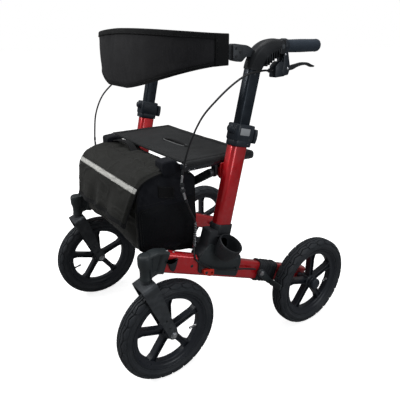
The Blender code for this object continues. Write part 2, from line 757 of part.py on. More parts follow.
def make_brace_pivot():
    """The rivet through both bars, with a head at each end."""
    middle = (BRACE_LOW + BRACE_HIGH) / 2
    front = BAR_A_Y - BAR_THICKNESS / 2 - GAP
    back = BAR_B_Y + BAR_THICKNESS / 2 + GAP
    profile = [(0, back + 0.003), (0.009, back + 0.003), (0.009, back), (PIN_RADIUS, back)]
    profile += [(PIN_RADIUS, front), (0.009, front), (0.009, front - 0.003), (0, front - 0.003)]
    turned("brace_pivot", profile, axes_at((0, 0, middle), (0, 0, 1), (1, 0, 0)), steel)


# ---------------------------------------------------------------- bag and cables


def make_bag():
    """The bag's body, with the two raised rear corners that hang from the seat."""
    outline = [(-0.110, 0.320), (-0.106, 0.548), (-0.165, 0.560), (-0.216, 0.566), (-0.280, 0.542)]
    outline += [(-0.296, 0.515), (-0.299, 0.470), (-0.299, 0.400), (-0.296, 0.372), (-0.284, 0.357)]
    outline += [(-0.200, 0.338)]
    bag = prism("bag", [outline], 2 * BAG_HALF_WIDTH, side_plane(0), fabric)
    for side in (1, -1):
        inner, outer = sorted((side * CORNER_LOW.x, side * CORNER_HIGH.x))
        low = (inner, CORNER_LOW.y, CORNER_LOW.z)
        high = (outer, CORNER_HIGH.y, CORNER_HIGH.z)
        join(bag, block(f"bag_corner_{side}", low, high, fabric))


def make_bag_flap():
    """The cover over the bag's top and front, hinged at its rear edge."""
    under = [(FLAP_HINGE_Y, FLAP_TOP - 0.005), (-0.281, 0.5455), (-0.3055, 0.501), (-0.3178, 0.440)]
    over = [(-0.3215, 0.440), (-0.3090, 0.503), (-0.2835, 0.5495), (FLAP_HINGE_Y, FLAP_TOP)]
    prism("bag_flap", [under + over], 2 * FLAP_HALF_WIDTH, side_plane(0), fabric)


def make_cable(side_name, side, bow):
    """The brake cable: off the brake housing, down past the seat and along the beam, bowed forward."""
    route = [(0.261, 0.0765, 0.803), (0.268, 0.050, 0.804), (0.2685, -0.010, 0.797)]
    route += [(0.2675, -0.055, 0.775), (0.264, -0.100, 0.742), (0.259, -0.138, 0.705)]
    route += [(0.252, -0.162, 0.655), (0.243, -0.174, 0.604), (0.237, -0.183, 0.554)]
    route += [(0.234, -0.176, 0.515), (0.231, -0.157, 0.465), (0.231, -0.140, 0.426)]
    route += [(0.240, -0.150, 0.380), (0.262, -0.166, 0.352), (0.275, -0.162, 0.334)]
    route += [(0.2755, -0.100, 0.290), (0.2755, -0.008, 0.262), (0.2755, 0.040, 0.2435)]
    points = []
    for number, (x, y, z) in enumerate(route):
        forward = bow * math.sin(math.pi * min(number / BOWED_POINTS, 1))
        points.append((side * x, y - forward, z))
    tube(f"{side_name}_brake_cable", points, CABLE_RADIUS, rubber, 1)


# ---------------------------------------------------------------- the whole object

clear_scene()
parts = new_collection("rollator")
cutters = new_collection("cutters")
red = paint("red_paint", (0.36, 0.006, 0.010), 0.28, 0.5)
metal = paint("black_metal", (0.025, 0.027, 0.032), 0.45, 0.6)
plastic = paint("black_plastic", (0.018, 0.020, 0.024), 0.50)
rubber = paint("tyre_rubber", (0.022, 0.024, 0.028), 0.85)
steel = paint("bright_steel", (0.55, 0.56, 0.58), 0.30, 1.0)
fabric = paint("charcoal_fabric", (0.030, 0.032, 0.036), 0.90)
orange = paint("latch_red", (0.80, 0.05, 0.02), 0.40)

make_wheels()
for side_name, side in SIDES:
    make_rear_axle(side_name, side)
    make_front_axle(side_name, side)
    make_fork(side_name, side)
    make_head(side_name, side)
    make_beam(side_name, side)
    make_beam_sleeve(side_name, side)
    make_brake_arm(side_name, side)
    make_upright(side_name, side)
    make_rail_saddle(side_name, side)
    make_clamp(side_name, side)
    make_inner_tube(side_name, side)
    make_elbow(side_name, side)
    make_grip(side_name, side)
    make_brake_housing(side_name, side)
    make_brake_lever(side_name, side)
    make_strap_bracket(side_name, side)
    make_strap_half(side_name, side)
    make_sling_half(side_name, side)
    make_cable(side_name, side, CABLE_BOW[side_name])

# Bar A runs in front and bar B behind it, so each lug stands on the free side of its bar.
FRONT_LUG = BAR_A_Y - BAR_THICKNESS / 2 - 0.0055
BACK_LUG = BAR_B_Y + BAR_THICKNESS / 2 + 0.0055
A_PIN_END = BAR_A_Y + BAR_THICKNESS / 2 - 0.0005
B_PIN_END = BAR_B_Y - BAR_THICKNESS / 2 + 0.0005
make_foot_bracket("left", 1, FRONT_LUG, A_PIN_END)
make_foot_bracket("right", -1, BACK_LUG, B_PIN_END)
make_seat_rail("left", 1, BACK_LUG - 0.001, B_PIN_END)
make_seat_rail("right", -1, FRONT_LUG + 0.001, A_PIN_END)
make_brace_bar("brace_bar_a", 1, BAR_A_Y)
make_brace_bar("brace_bar_b", -1, BAR_B_Y)
make_brace_pivot()
make_cane_cup()
make_hook()
make_fold_latch()
make_bag()
make_bag_flap()

for side_name, side in SIDES:
    set_origin(f"{side_name}_fork", (side * FRONT_TRACK, STEER_Y, CROWN_Z))
    set_origin(f"{side_name}_brake_arm", brake_pivot(side))
    set_origin(f"{side_name}_brake_lever", (side * HANDLE_X, 0.120, 0.804))
    lever_axis = upright_at(side, 0.648, 0.0385) - Vector((side * 0.010, 0, 0))
    set_origin(f"{side_name}_clamp_lever", lever_axis)
    set_origin(f"{side_name}_strap", (side * STRAP_HALF_WIDTH, STRAP_HINGE_Y, 0.853))
    set_origin(f"{side_name}_sling", (side * (RAIL_X - RAIL_WIDTH / 2), 0, RAIL_TOP))
    set_origin(f"{side_name}_seat_rail", (side * BRACE_X, 0, BRACE_HIGH))
set_origin("brace_bar_a", (BRACE_X, BAR_A_Y, BRACE_LOW))
set_origin("brace_bar_b", (0, BAR_B_Y, (BRACE_LOW + BRACE_HIGH) / 2))
set_origin("bag_flap", (0, FLAP_HINGE_Y, FLAP_TOP))
set_origin("fold_latch", (FRAME_X + BRACKET_WIDTH / 2, -0.142, 0.299))

for obj in parts.objects:
    obj.data.shade_smooth()
    obj.data.set_sharp_from_angle(angle=math.radians(35))
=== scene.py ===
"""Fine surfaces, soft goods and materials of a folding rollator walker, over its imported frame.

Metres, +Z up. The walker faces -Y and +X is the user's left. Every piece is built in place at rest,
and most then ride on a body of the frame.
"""

import json
import math

import bmesh
import bpy
from mathutils import Matrix, Vector, noise
from mathutils.bvhtree import BVHTree
from mathutils.kdtree import KDTree


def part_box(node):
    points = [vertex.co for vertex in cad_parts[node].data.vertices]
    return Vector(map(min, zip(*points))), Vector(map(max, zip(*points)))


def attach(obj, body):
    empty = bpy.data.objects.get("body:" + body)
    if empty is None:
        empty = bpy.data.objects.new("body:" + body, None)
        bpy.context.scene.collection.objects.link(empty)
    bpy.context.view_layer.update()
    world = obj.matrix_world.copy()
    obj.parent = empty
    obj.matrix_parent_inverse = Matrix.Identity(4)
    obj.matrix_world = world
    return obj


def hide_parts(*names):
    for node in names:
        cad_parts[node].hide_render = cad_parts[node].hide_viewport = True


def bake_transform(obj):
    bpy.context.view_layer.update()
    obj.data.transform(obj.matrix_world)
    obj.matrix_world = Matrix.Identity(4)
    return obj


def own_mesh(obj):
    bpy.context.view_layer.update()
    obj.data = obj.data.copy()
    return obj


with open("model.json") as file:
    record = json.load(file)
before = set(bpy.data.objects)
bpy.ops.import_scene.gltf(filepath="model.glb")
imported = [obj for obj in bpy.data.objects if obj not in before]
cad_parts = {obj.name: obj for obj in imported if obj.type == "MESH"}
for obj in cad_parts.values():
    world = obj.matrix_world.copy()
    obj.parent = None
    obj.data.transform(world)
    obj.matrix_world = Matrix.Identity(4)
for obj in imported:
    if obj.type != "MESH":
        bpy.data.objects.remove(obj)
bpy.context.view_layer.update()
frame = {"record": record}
JOINTS = {joint["name"]: joint for joint in frame["record"]["behaviour"]["joints"]}
SIDES = (("left", 1), ("right", -1))
X, Y, Z = Vector((1, 0, 0)), Vector((0, 1, 0)), Vector((0, 0, 1))


# ---------------------------------------------------------------- places


def centre_of(node):
    low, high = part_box(node)
    return (low + high) / 2


def pivot(joint):
    return Vector(JOINTS[joint]["pos_m"])


def axes_at(origin, u, v):
    """A matrix at origin whose local X and Y run along u and v."""
    u = Vector(u).normalized()
    v = Vector(v).normalized()
    matrix = Matrix((u, v, u.cross(v))).transposed().to_4x4()
    matrix.translation = Vector(origin)
    return matrix


def side_plane(x):
    """Outlines given as (y, z), with the depth along X."""
    return axes_at((x, 0, 0), Y, Z)


UPRIGHT_UP = Vector(JOINTS["handle_height"]["axis"]).normalized()
UPRIGHT_BACK = UPRIGHT_UP.cross(X)
UPRIGHT_MIDDLE = centre_of("left_upright")
BEAM_MIDDLE = centre_of("left_side_beam")
BEAM_SLOPE = math.radians(22.82)
BEAM_WAY = Vector((0, math.cos(BEAM_SLOPE), -math.sin(BEAM_SLOPE)))
BEAM_UP = X.cross(BEAM_WAY)
FRAME_X = BEAM_MIDDLE.x
HANDLE_X = centre_of("left_grip").x


def upright_at(side, z, back=0.0):
    """The point of an upright's centre line at height z."""
    point = UPRIGHT_MIDDLE + UPRIGHT_UP * ((z - UPRIGHT_MIDDLE.z) / UPRIGHT_UP.z) + UPRIGHT_BACK * back
    return Vector((side * FRAME_X, point.y, point.z))


def beam_at(side, y):
    """The point of the side beam's centre line at this y."""
    point = BEAM_MIDDLE + BEAM_WAY * ((y - BEAM_MIDDLE.y) / BEAM_WAY.y)
    return Vector((side * FRAME_X, point.y, point.z))


# ---------------------------------------------------------------- outlines


def arc(centre, radius, start, end, steps):
    angles = [math.radians(start + (end - start) * i / steps) for i in range(steps + 1)]
    return [(centre[0] + radius * math.cos(a), centre[1] + radius * math.sin(a)) for a in angles]


def rounded(width, height, radius, steps=6):
    """A rectangle with round corners, centred on the origin."""
    radius = min(radius, width / 2 - 1e-5, height / 2 - 1e-5)
    across, up = width / 2 - radius, height / 2 - radius
    corners = ((across, up, 0), (-across, up, 90), (-across, -up, 180), (across, -up, 270))
    points = []
    for x, y, start in corners:
        points += arc((x, y), radius, start, start + 90, steps)
    return points


def circle(radius, steps=24):
    return arc((0, 0), radius, 0, 360 * (steps - 1) / steps, steps - 1)


def soften(outline, radius, steps=4):
    """The outline with each corner replaced by a curve."""
    points = []
    count = len(outline)
    for i in range(count):
        here = Vector(outline[i])
        before = Vector(outline[i - 1]) - here
        after = Vector(outline[(i + 1) % count]) - here
        start = here + before.normalized() * min(radius, before.length * 0.45)
        end = here + after.normalized() * min(radius, after.length * 0.45)
        for step in range(steps + 1):
            t = step / steps
            points.append(start * (1 - t) ** 2 + here * 2 * t * (1 - t) + end * t**2)
    return points


def inset(outline, distance):
    """The outline moved inwards by a small distance."""
    points = [Vector(p) for p in outline]
    count = len(points)
    area = sum(points[i - 1].x * points[i].y - points[i].x * points[i - 1].y for i in range(count))
    turn = 1 if area > 0 else -1
    moved = []
    for i in range(count):
        before = (points[i] - points[i - 1]).normalized()
        after = (points[(i + 1) % count] - points[i]).normalized()
        way = before + after
        way = way.normalized() if way.length > 1e-6 else before
        moved.append(points[i] + Vector((-way.y, way.x)) * turn * distance)
    return moved


def band(start, end, start_radius, end_radius, steps=10):
    """A bar outline with round ends."""
    way = math.degrees(math.atan2(end[1] - start[1], end[0] - start[0]))
    points = arc(start, start_radius, way + 90, way + 270, steps)
    return points + arc(end, end_radius, way - 90, way + 90, steps)


def curve_through(points, count):
    """Evenly numbered points on a smooth curve through the given ones."""
    points = [Vector(p) for p in points]
    ends = [points[0] * 2 - points[1]] + points + [points[-1] * 2 - points[-2]]
    made = []
    for step in range(count):
        place = step / (count - 1) * (len(points) - 1)
        i = min(int(place), len(points) - 2)
        t = place - i
        a, b, c, d = ends[i : i + 4]
        made.append(
            (b * 2 + (c - a) * t + (a * 2 - b * 5 + c * 4 - d) * t**2 + (b * 3 - a - c * 3 + d) * t**3) / 2
        )
    return made


def ramp(value, low, high):
    """0 below low, 1 above high, smooth between."""
    t = min(max((value - low) / (high - low), 0), 1)
    return t * t * (3 - 2 * t)


# ---------------------------------------------------------------- surfaces


class Shape:
    """Closed surfaces gathered into one mesh."""

    def __init__(self):
        self.points = []
        self.faces = []

    def skin(self, rings, cyclic=False):
        """Joins rings of equal count, with flat ends unless the run closes on itself."""
        base, size, count = len(self.points), len(rings[0]), len(rings)
        for ring in rings:
            self.points += [Vector(p) for p in ring]
        for i in range(count if cyclic else count - 1):
            a, b = base + i * size, base + (i + 1) % count * size
            for j in range(size):
                k = (j + 1) % size
                self.faces.append((a + j, a + k, b + k, b + j))
        if not cyclic:
            self.faces.append(tuple(range(base + size - 1, base - 1, -1)))
            self.faces.append(tuple(range(base + (count - 1) * size, base + count * size)))

    def slab(self, matrix, outline, depth, edge=0.001):
        """An outline with rounded edges, extruded to depth about its plane."""
        half = depth / 2
        levels = [(-half, edge), (-half + edge * 0.3, edge * 0.3), (-half + edge, 0)]
        levels += [(half - edge, 0), (half - edge * 0.3, edge * 0.3), (half, edge)]
        rings = []
        for height, step in levels:
            ring = inset(outline, step) if step else outline
            rings.append([matrix @ Vector((p[0], p[1], height)) for p in ring])
        self.skin(rings)

    def turned(self, matrix, profile, steps=40):
        """A closed profile of (radius, height) points turned about the matrix's Z axis."""
        rings = []
        for step in range(steps):
            angle = 2 * math.pi * step / steps
            way = Vector((math.cos(angle), math.sin(angle), 0))
            rings.append([matrix @ (way * max(r, 1e-6) + Z * h) for r, h in profile])
        self.skin(rings, cyclic=True)

    def sweep(self, path, sections, side=X):
        """Sections of (across, up) points carried along a path, with `across` kept along side."""
        rings = []
        last = len(path) - 1
        for i, point in enumerate(path):
            tangent = (path[min(i + 1, last)] - path[max(i - 1, 0)]).normalized()
            across = (side - tangent * side.dot(tangent)).normalized()
            up = across.cross(tangent)
            rings.append([point + across * a + up * b for a, b in sections[i]])
        self.skin(rings)

    def wire(self, path, radius, steps=10, side=X):
        self.sweep(path, [circle(radius, steps)] * len(path), side)

    def hex_bolt(self, place, way, radius=0.0065, height=0.005):
        """A hexagon head on a washer."""
        way = Vector(way).normalized()
        across = X if abs(way.x) < 0.9 else Y
        across = (across - way * across.dot(way)).normalized()
        matrix = axes_at(place, across, way.cross(across))
        washer = [(0, 0), (radius * 1.3, 0), (radius * 1.3, 0.0008), (0, 0.0008)]
        self.turned(matrix, washer, 28)
        rings = []
        for level, scale in ((0.0008, 1), (height - 0.0008, 1), (height, 0.86)):
            rings.append([matrix @ Vector((p[0] * scale, p[1] * scale, level)) for p in circle(radius, 6)])
        self.skin(rings)

    def rivet(self, place, way, radius=0.004, height=0.002):
        """A domed head with a small recess in the middle."""
        way = Vector(way).normalized()
        across = X if abs(way.x) < 0.9 else Y
        across = (across - way * across.dot(way)).normalized()
        matrix = axes_at(place, across, way.cross(across))
        profile = [(0, -0.001), (radius, -0.001), (radius, height * 0.25), (radius * 0.8, height * 0.75)]
        profile += [(radius * 0.45, height), (radius * 0.35, height * 0.6), (0, height * 0.6)]
        self.turned(matrix, profile, 20)

    def stitches(self, path, normal, pitch=0.0042, thread=0.00035):
        """Short raised threads along a path, like a sewn seam."""
        gone = 0.0
        for a, b in zip(path, path[1:]):
            length = (b - a).length
            while gone < length:
                start = a.lerp(b, gone / length)
                end = a.lerp(b, min((gone + pitch * 0.62) / length, 1.3))
                way = (end - start).normalized()
                up = Vector(normal(start) if callable(normal) else normal).normalized()
                across = way.cross(up).normalized() * thread
                corners = [across, up * thread * 1.2, -across, -up * thread * 1.2]
                self.skin([[p + c for c in corners] for p in (start, start.lerp(end, 0.5) + up * thread, end)])
                gone += pitch
            gone -= length


def add(name, shape, material, body, replaces=(), angle=35):
    """Makes the object and sets it on its body."""
    mesh = bpy.data.meshes.new(name)
    mesh.from_pydata([tuple(p) for p in shape.points], [], shape.faces)
    return add_mesh(name, mesh, material, body, replaces, angle)


def add_mesh(name, mesh, material, body, replaces=(), angle=35):
    work = bmesh.new()
    work.from_mesh(mesh)
    bmesh.ops.remove_doubles(work, verts=work.verts, dist=2e-6)
    bmesh.ops.dissolve_degenerate(work, edges=work.edges, dist=1e-7)
    bmesh.ops.recalc_face_normals(work, faces=work.faces)
    work.to_mesh(mesh)
    work.free()
    mesh.materials.clear()
    mesh.materials.append(material)
    mesh.shade_smooth()
    mesh.set_sharp_from_angle(angle=math.radians(angle))
    obj = bpy.data.objects.new(name, mesh)
    bpy.context.scene.collection.objects.link(obj)
    if body:
        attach(obj, body)
    if replaces:
        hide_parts(*replaces)
    return obj


# ---------------------------------------------------------------- materials


class Nodes:
    """Short calls for building one material's node tree."""

    def __init__(self, name):
        self.material = bpy.data.materials.new(name)
        self.material.use_nodes = True
        self.tree = self.material.node_tree
        self.shader = self.tree.nodes["Principled BSDF"]
        self.place = self.add("ShaderNodeTexCoord").outputs["Object"]

    def add(self, kind, **settings):
        node = self.tree.nodes.new(kind)
        for key, value in settings.items():
            setattr(node, key, value)
        return node

    def link(self, source, target):
        self.tree.links.new(source, target)

    def noise(self, scale, detail=3.0, stretch=(1, 1, 1)):
        mapping = self.add("ShaderNodeMapping")
        mapping.inputs["Scale"].default_value = stretch
        texture = self.add("ShaderNodeTexNoise")
        texture.inputs["Scale"].default_value = scale
        texture.inputs["Detail"].default_value = detail
        self.link(self.place, mapping.inputs["Vector"])
        self.link(mapping.outputs["Vector"], texture.inputs["Vector"])
        return texture.outputs["Fac"]

    def remap(self, value, low, high, to_low, to_high):
        node = self.add("ShaderNodeMapRange")
        for slot, number in zip(("From Min", "From Max", "To Min", "To Max"), (low, high, to_low, to_high)):
            node.inputs[slot].default_value = number
        self.link(value, node.inputs["Value"])
        return node.outputs["Result"]

    def math(self, operation, first, second):
        node = self.add("ShaderNodeMath", operation=operation)
        for i, value in enumerate((first, second)):
            if isinstance(value, (int, float)):
                node.inputs[i].default_value = value
            else:
                self.link(value, node.inputs[i])
        return node.outputs["Value"]

    def mix(self, factor, first, second):
        node = self.add("ShaderNodeMix", data_type="RGBA")
        self.link(factor, node.inputs["Factor"])
        for slot, value in (("A", first), ("B", second)):
            socket = [s for s in node.inputs if s.name == slot and s.type == "RGBA"][0]
            if isinstance(value, tuple):
                socket.default_value = (*value, 1)
            else:
                self.link(value, socket)
        return [s for s in node.outputs if s.type == "RGBA"][0]

    def bump(self, height, distance, strength=1.0):
        """Adds a bump on top of the ones already there."""
        node = self.add("ShaderNodeBump")
        node.inputs["Strength"].default_value = strength
        node.inputs["Distance"].default_value = distance
        self.link(height, node.inputs["Height"])
        before = self.shader.inputs["Normal"]
        if before.is_linked:
            self.link(before.links[0].from_socket, node.inputs["Normal"])
        self.link(node.outputs["Normal"], before)

    def weave(self, pitch):
        """A plain weave, as a height from 0 to 1, that works on faces in any direction."""
        scaled = self.add("ShaderNodeVectorMath", operation="SCALE")
        scaled.inputs["Scale"].default_value = math.pi / pitch
        self.link(self.place, scaled.inputs[0])
        waves = self.add("ShaderNodeVectorMath", operation="SINE")
        self.link(scaled.outputs["Vector"], waves.inputs[0])
        split = self.add("ShaderNodeSeparateXYZ")
        self.link(waves.outputs["Vector"], split.inputs[0])
        x, y, z = split.outputs
        total = self.math("ADD", self.math("MULTIPLY", x, y), self.math("MULTIPLY", y, z))
        total = self.math("ADD", total, self.math("MULTIPLY", z, x))
        return self.remap(total, -1.0, 1.0, 0.0, 1.0)

    def edge_wear_and_highlight(self, colour, edge_colour, start, amount):
        """Lightens the colour along convex edges, broken up by noise: worn edges on the hard parts, a painted highlight
        on the tyre.
        """
        edges = self.remap(self.add("ShaderNodeNewGeometry").outputs["Pointiness"], start, start + 0.08, 0, 1)
        patches = self.remap(self.noise(70, 6), 0.45, 0.65, 0, amount)
        return self.mix(self.math("MULTIPLY", edges, patches), colour, edge_colour)


def hard_material(name, colour, other, roughness, metallic=0.0, grain=900, depth=0.00006, edge=0.35, coat=0.0):
    """Painted, moulded or powder-coated stuff: mottled colour, uneven gloss, fine grain, worn edges."""
    nodes = Nodes(name)
    shader = nodes.shader
    mottle = nodes.noise(14, 5)
    colour = nodes.mix(nodes.remap(mottle, 0.35, 0.65, 0, 1), colour, other)
    edge_colour = tuple(min(channel * 3.2 + 0.02, 1) for channel in other)
    nodes.link(nodes.edge_wear_and_highlight(colour, edge_colour, 0.53, edge), shader.inputs["Base Color"])
    smudge = nodes.remap(nodes.noise(38, 6), 0.3, 0.7, roughness - 0.07, roughness + 0.09)
    nodes.link(smudge, shader.inputs["Roughness"])
    shader.inputs["Metallic"].default_value = metallic
    shader.inputs["Specular IOR Level"].default_value = 0.38
    shader.inputs["Coat Weight"].default_value = coat
    shader.inputs["Coat Roughness"].default_value = 0.09
    nodes.bump(nodes.noise(grain, 2), depth)
    nodes.bump(nodes.noise(30, 2), 0.0004, 0.25)
    return nodes.material


def red_paint():
    """Metallic red under clear lacquer, with fine flakes."""
    nodes = Nodes("red_lacquer")
    shader = nodes.shader
    shade = nodes.remap(nodes.noise(9, 3), 0.35, 0.65, 0, 1)
    colour = nodes.mix(shade, (0.72, 0.004, 0.012), (0.56, 0.003, 0.009))
    flakes = nodes.add("ShaderNodeTexVoronoi")
    flakes.inputs["Scale"].default_value = 2600
    nodes.link(nodes.place, flakes.inputs["Vector"])
    sparkle = nodes.remap(flakes.outputs["Distance"], 0.0, 0.5, 0.35, 0.0)
    colour = nodes.mix(sparkle, colour, (0.85, 0.03, 0.04))
    nodes.link(nodes.edge_wear_and_highlight(colour, (0.58, 0.05, 0.06), 0.45, 0.3), shader.inputs["Base Color"])
    shader.inputs["Metallic"].default_value = 0.42
    nodes.link(nodes.remap(nodes.noise(45, 5), 0.3, 0.7, 0.26, 0.38), shader.inputs["Roughness"])
    shader.inputs["Coat Weight"].default_value = 0.85
    shader.inputs["Coat Roughness"].default_value = 0.07
    nodes.bump(nodes.noise(260, 2), 0.00004)
    return nodes.material


def steel():
    nodes = Nodes("zinc_steel")
    shader = nodes.shader
    tone = nodes.remap(nodes.noise(160, 5), 0.3, 0.7, 0, 1)
    nodes.link(nodes.mix(tone, (0.62, 0.63, 0.65), (0.42, 0.43, 0.45)), shader.inputs["Base Color"])
    shader.inputs["Metallic"].default_value = 1
    nodes.link(nodes.remap(nodes.noise(420, 4), 0.3, 0.7, 0.22, 0.42), shader.inputs["Roughness"])
    nodes.bump(nodes.noise(700, 3, (1, 12, 12)), 0.00005)
    return nodes.material


def tyre_material():
    """Rubber: a faint bloom on the flats, with painted shade that blackens its grooves and a painted highlight that
    greys its edges.
    """
    nodes = Nodes("tyre_rubber")
    shader = nodes.shader
    tone = nodes.remap(nodes.noise(24, 6), 0.35, 0.7, 0, 1)
    colour = nodes.mix(tone, (0.019, 0.023, 0.029), (0.031, 0.035, 0.041))
    # Painted shade: where pointiness is low, in the grooves, the colour is mixed towards black.
    groove_shade = nodes.remap(nodes.add("ShaderNodeNewGeometry").outputs["Pointiness"], 0.40, 0.49, 0.90, 0)
    colour = nodes.mix(groove_shade, colour, (0.004, 0.005, 0.006))
    # Painted highlight: the tyre's convex tread edges are lightened to grey.
    nodes.link(nodes.edge_wear_and_highlight(colour, (0.105, 0.112, 0.120), 0.52, 0.55), shader.inputs["Base Color"])
    nodes.link(nodes.remap(nodes.noise(60, 5), 0.3, 0.7, 0.52, 0.78), shader.inputs["Roughness"])
    shader.inputs["Specular IOR Level"].default_value = 0.42
    nodes.bump(nodes.noise(800, 3), 0.00010)
    nodes.bump(nodes.noise(120, 4), 0.0002, 0.4)
    return nodes.material


def cloth_material(name, colour, other, pitch, crease=0.0006, sheen=0.15, roughness=0.82, relief=0.00018):
    """Woven cloth: threads, uneven dye and soft creases."""
    nodes = Nodes(name)
    shader = nodes.shader
    threads = nodes.weave(pitch)
    shade = nodes.mix(nodes.remap(nodes.noise(11, 5), 0.35, 0.65, 0, 1), colour, other)
    dark = tuple(channel * 0.55 for channel in colour)
    shade = nodes.mix(nodes.remap(threads, 0.0, 0.45, 0.7, 0), shade, dark)
    fluff = nodes.remap(nodes.noise(480, 6), 0.55, 0.75, 0, 0.35)
    light = tuple(min(channel * 2.2 + 0.01, 1) for channel in other)
    nodes.link(nodes.mix(fluff, shade, light), shader.inputs["Base Color"])
    nodes.link(nodes.remap(nodes.noise(26, 5), 0.3, 0.7, roughness - 0.1, roughness + 0.08), shader.inputs["Roughness"])
    shader.inputs["Specular IOR Level"].default_value = 0.20
    shader.inputs["Sheen Weight"].default_value = sheen
    shader.inputs["Sheen Roughness"].default_value = 0.45
    nodes.bump(threads, relief)
    nodes.bump(nodes.noise(32, 4), crease, 0.5)
    nodes.bump(nodes.noise(9, 5, (1, 1, 0.5)), crease * 4, 0.35)
    return nodes.material


def ribbon_material():
    """Retro-reflective ribbon: fine beads in a slanted lattice."""
    nodes = Nodes("reflective_ribbon")
    shader = nodes.shader
    beads = nodes.weave(0.0011)
    tone = nodes.remap(nodes.noise(40, 5), 0.3, 0.7, 0, 1)
    colour = nodes.mix(tone, (0.80, 0.80, 0.76), (0.66, 0.66, 0.63))
    nodes.link(nodes.mix(nodes.remap(beads, 0, 0.5, 0.5, 0), colour, (0.24, 0.24, 0.23)), shader.inputs["Base Color"])
    nodes.link(nodes.remap(nodes.noise(90, 4), 0.3, 0.7, 0.35, 0.55), shader.inputs["Roughness"])
    nodes.bump(beads, 0.0001)
    nodes.bump(nodes.noise(26, 4), 0.0008, 0.5)
    return nodes.material


RED = red_paint()
STEEL = steel()
TYRE = tyre_material()
RIM = hard_material("rim_nylon", (0.016, 0.019, 0.026), (0.022, 0.026, 0.034), 0.32, grain=1100, edge=0.5)
COAT = hard_material("black_powder_coat", (0.037, 0.042, 0.048), (0.050, 0.055, 0.061), 0.42, 0.25, grain=1400)
TUBE = hard_material("black_anodised", (0.010, 0.016, 0.024), (0.015, 0.022, 0.032), 0.34, 0.35, grain=1500, edge=0.2)
PLASTIC = hard_material("black_moulding", (0.014, 0.016, 0.019), (0.021, 0.023, 0.027), 0.48, grain=1000)
PLATE = hard_material("grey_moulding", (0.0230, 0.0290, 0.0320), (0.030, 0.0365, 0.0400), 0.50, grain=1000, edge=0.25)
COLLAR = hard_material("blue_black_moulding", (0.014, 0.020, 0.029), (0.020, 0.027, 0.038), 0.40, grain=1000)
GLOSS = hard_material("gloss_black", (0.010, 0.012, 0.016), (0.015, 0.018, 0.023), 0.20, grain=500, edge=0.3, coat=0.4)
GRIP = hard_material("grip_rubber", (0.020, 0.032, 0.048), (0.027, 0.041, 0.060), 0.58, grain=700, depth=0.0001)
LATCH = hard_material("latch_red", (0.72, 0.030, 0.012), (0.62, 0.022, 0.010), 0.40, grain=900, edge=0.2, coat=0.3)
CABLE = hard_material("cable_jacket", (0.010, 0.011, 0.013), (0.018, 0.019, 0.021), 0.38, grain=1200)
SEAT = cloth_material("seat_cloth", (0.0190, 0.0205, 0.0220), (0.025, 0.0265, 0.0280), 0.0011, 0.0004, 0.05)
STRAP = cloth_material("strap_cloth", (0.0195, 0.0195, 0.0220), (0.0255, 0.0255, 0.0280), 0.0012, 0.0004, 0.06)
HEM = cloth_material("hem_webbing", (0.0050, 0.0055, 0.0066), (0.0080, 0.0085, 0.0095), 0.0016, 0.0004, 0.05, relief=0.0003)
BAG = cloth_material("bag_cloth", (0.0155, 0.0160, 0.0140), (0.021, 0.0215, 0.019), 0.0009, 0.0004, 0.06, 0.60)
BAG_SIDE = cloth_material("bag_side_cloth", (0.0040, 0.0052, 0.0090), (0.0065, 0.0080, 0.0130), 0.0009, 0.0005, 0.05, 0.66)
THREAD = cloth_material("sewing_thread", (0.022, 0.023, 0.025), (0.034, 0.035, 0.037), 0.0004)
NET = cloth_material("pocket_net", (0.0026, 0.0034, 0.0050), (0.0045, 0.0055, 0.0075), 0.0021, 0.0004, 0.03, relief=0.0004)
PIPING = cloth_material("grey_piping", (0.16, 0.165, 0.17), (0.22, 0.225, 0.23), 0.0009)
LABEL = hard_material("blank_plate", (0.34, 0.36, 0.38), (0.42, 0.44, 0.46), 0.35, grain=600, edge=0.1)
RIBBON = ribbon_material()


# ---------------------------------------------------------------- wheels

TREADS = 24
TREAD_STEPS = 20
TREAD_DEPTH = 0.0040


def groove(distance, width):
    """A flat-bottomed groove: 1 within most of its width, falling steeply to 0 at its edge."""
    return ramp(distance, width, width * 0.55)


def tread_cut(turn, reach):
    """How deep the tread is cut, from 0 to 1: turn in blocks round the tyre, reach from its middle."""
    zig = abs(turn % 1 * 2 - 1)
    cuts = [groove(abs(reach - 0.0030 - 0.0028 * zig), 0.0013), groove(abs(reach - 0.0118 - 0.0062 * zig), 0.0016)]
    if reach < 0.0118:
        cuts.append(groove(abs(zig - 1) * 0.02, 0.0018) * ramp(reach, 0.003, 0.006))
    else:
        lean = abs((turn + 0.5 + (reach - 0.02) * 10) % 1 - 0.5)
        cuts.append(groove(lean * 0.038, 0.0017) * ramp(reach, 0.0135, 0.0150))
    edge = 0.0232 + 0.0062 * (1 - zig)
    cuts.append(0.80 * ramp(reach, edge, edge + 0.0010))
    return max(cuts) * (1 - 0.70 * ramp(reach, 0.0300, 0.0330))


def tyre_profile(radius, half_width):
    """Half of the tyre's outline, from the middle of the tread to the bead, as (radius, width)."""
    keys = [(0, 0), (0.0004, 0.33), (0.0016, 0.60), (0.0044, 0.81), (0.0090, 0.95), (0.0150, 1.0)]
    keys += [(0.0195, 0.985), (0.0205, 1.0), (0.0222, 0.985), (0.0245, 0.93), (0.0275, 0.87)]
    keys += [(0.0283, 0.885), (0.0296, 0.86), (0.0312, 0.78), (0.0335, 0.66)]
    points = [(radius - drop, width * half_width, 0) for drop, width in keys]
    return [Vector((p.x, p.y)) for p in curve_through(points, 64)]


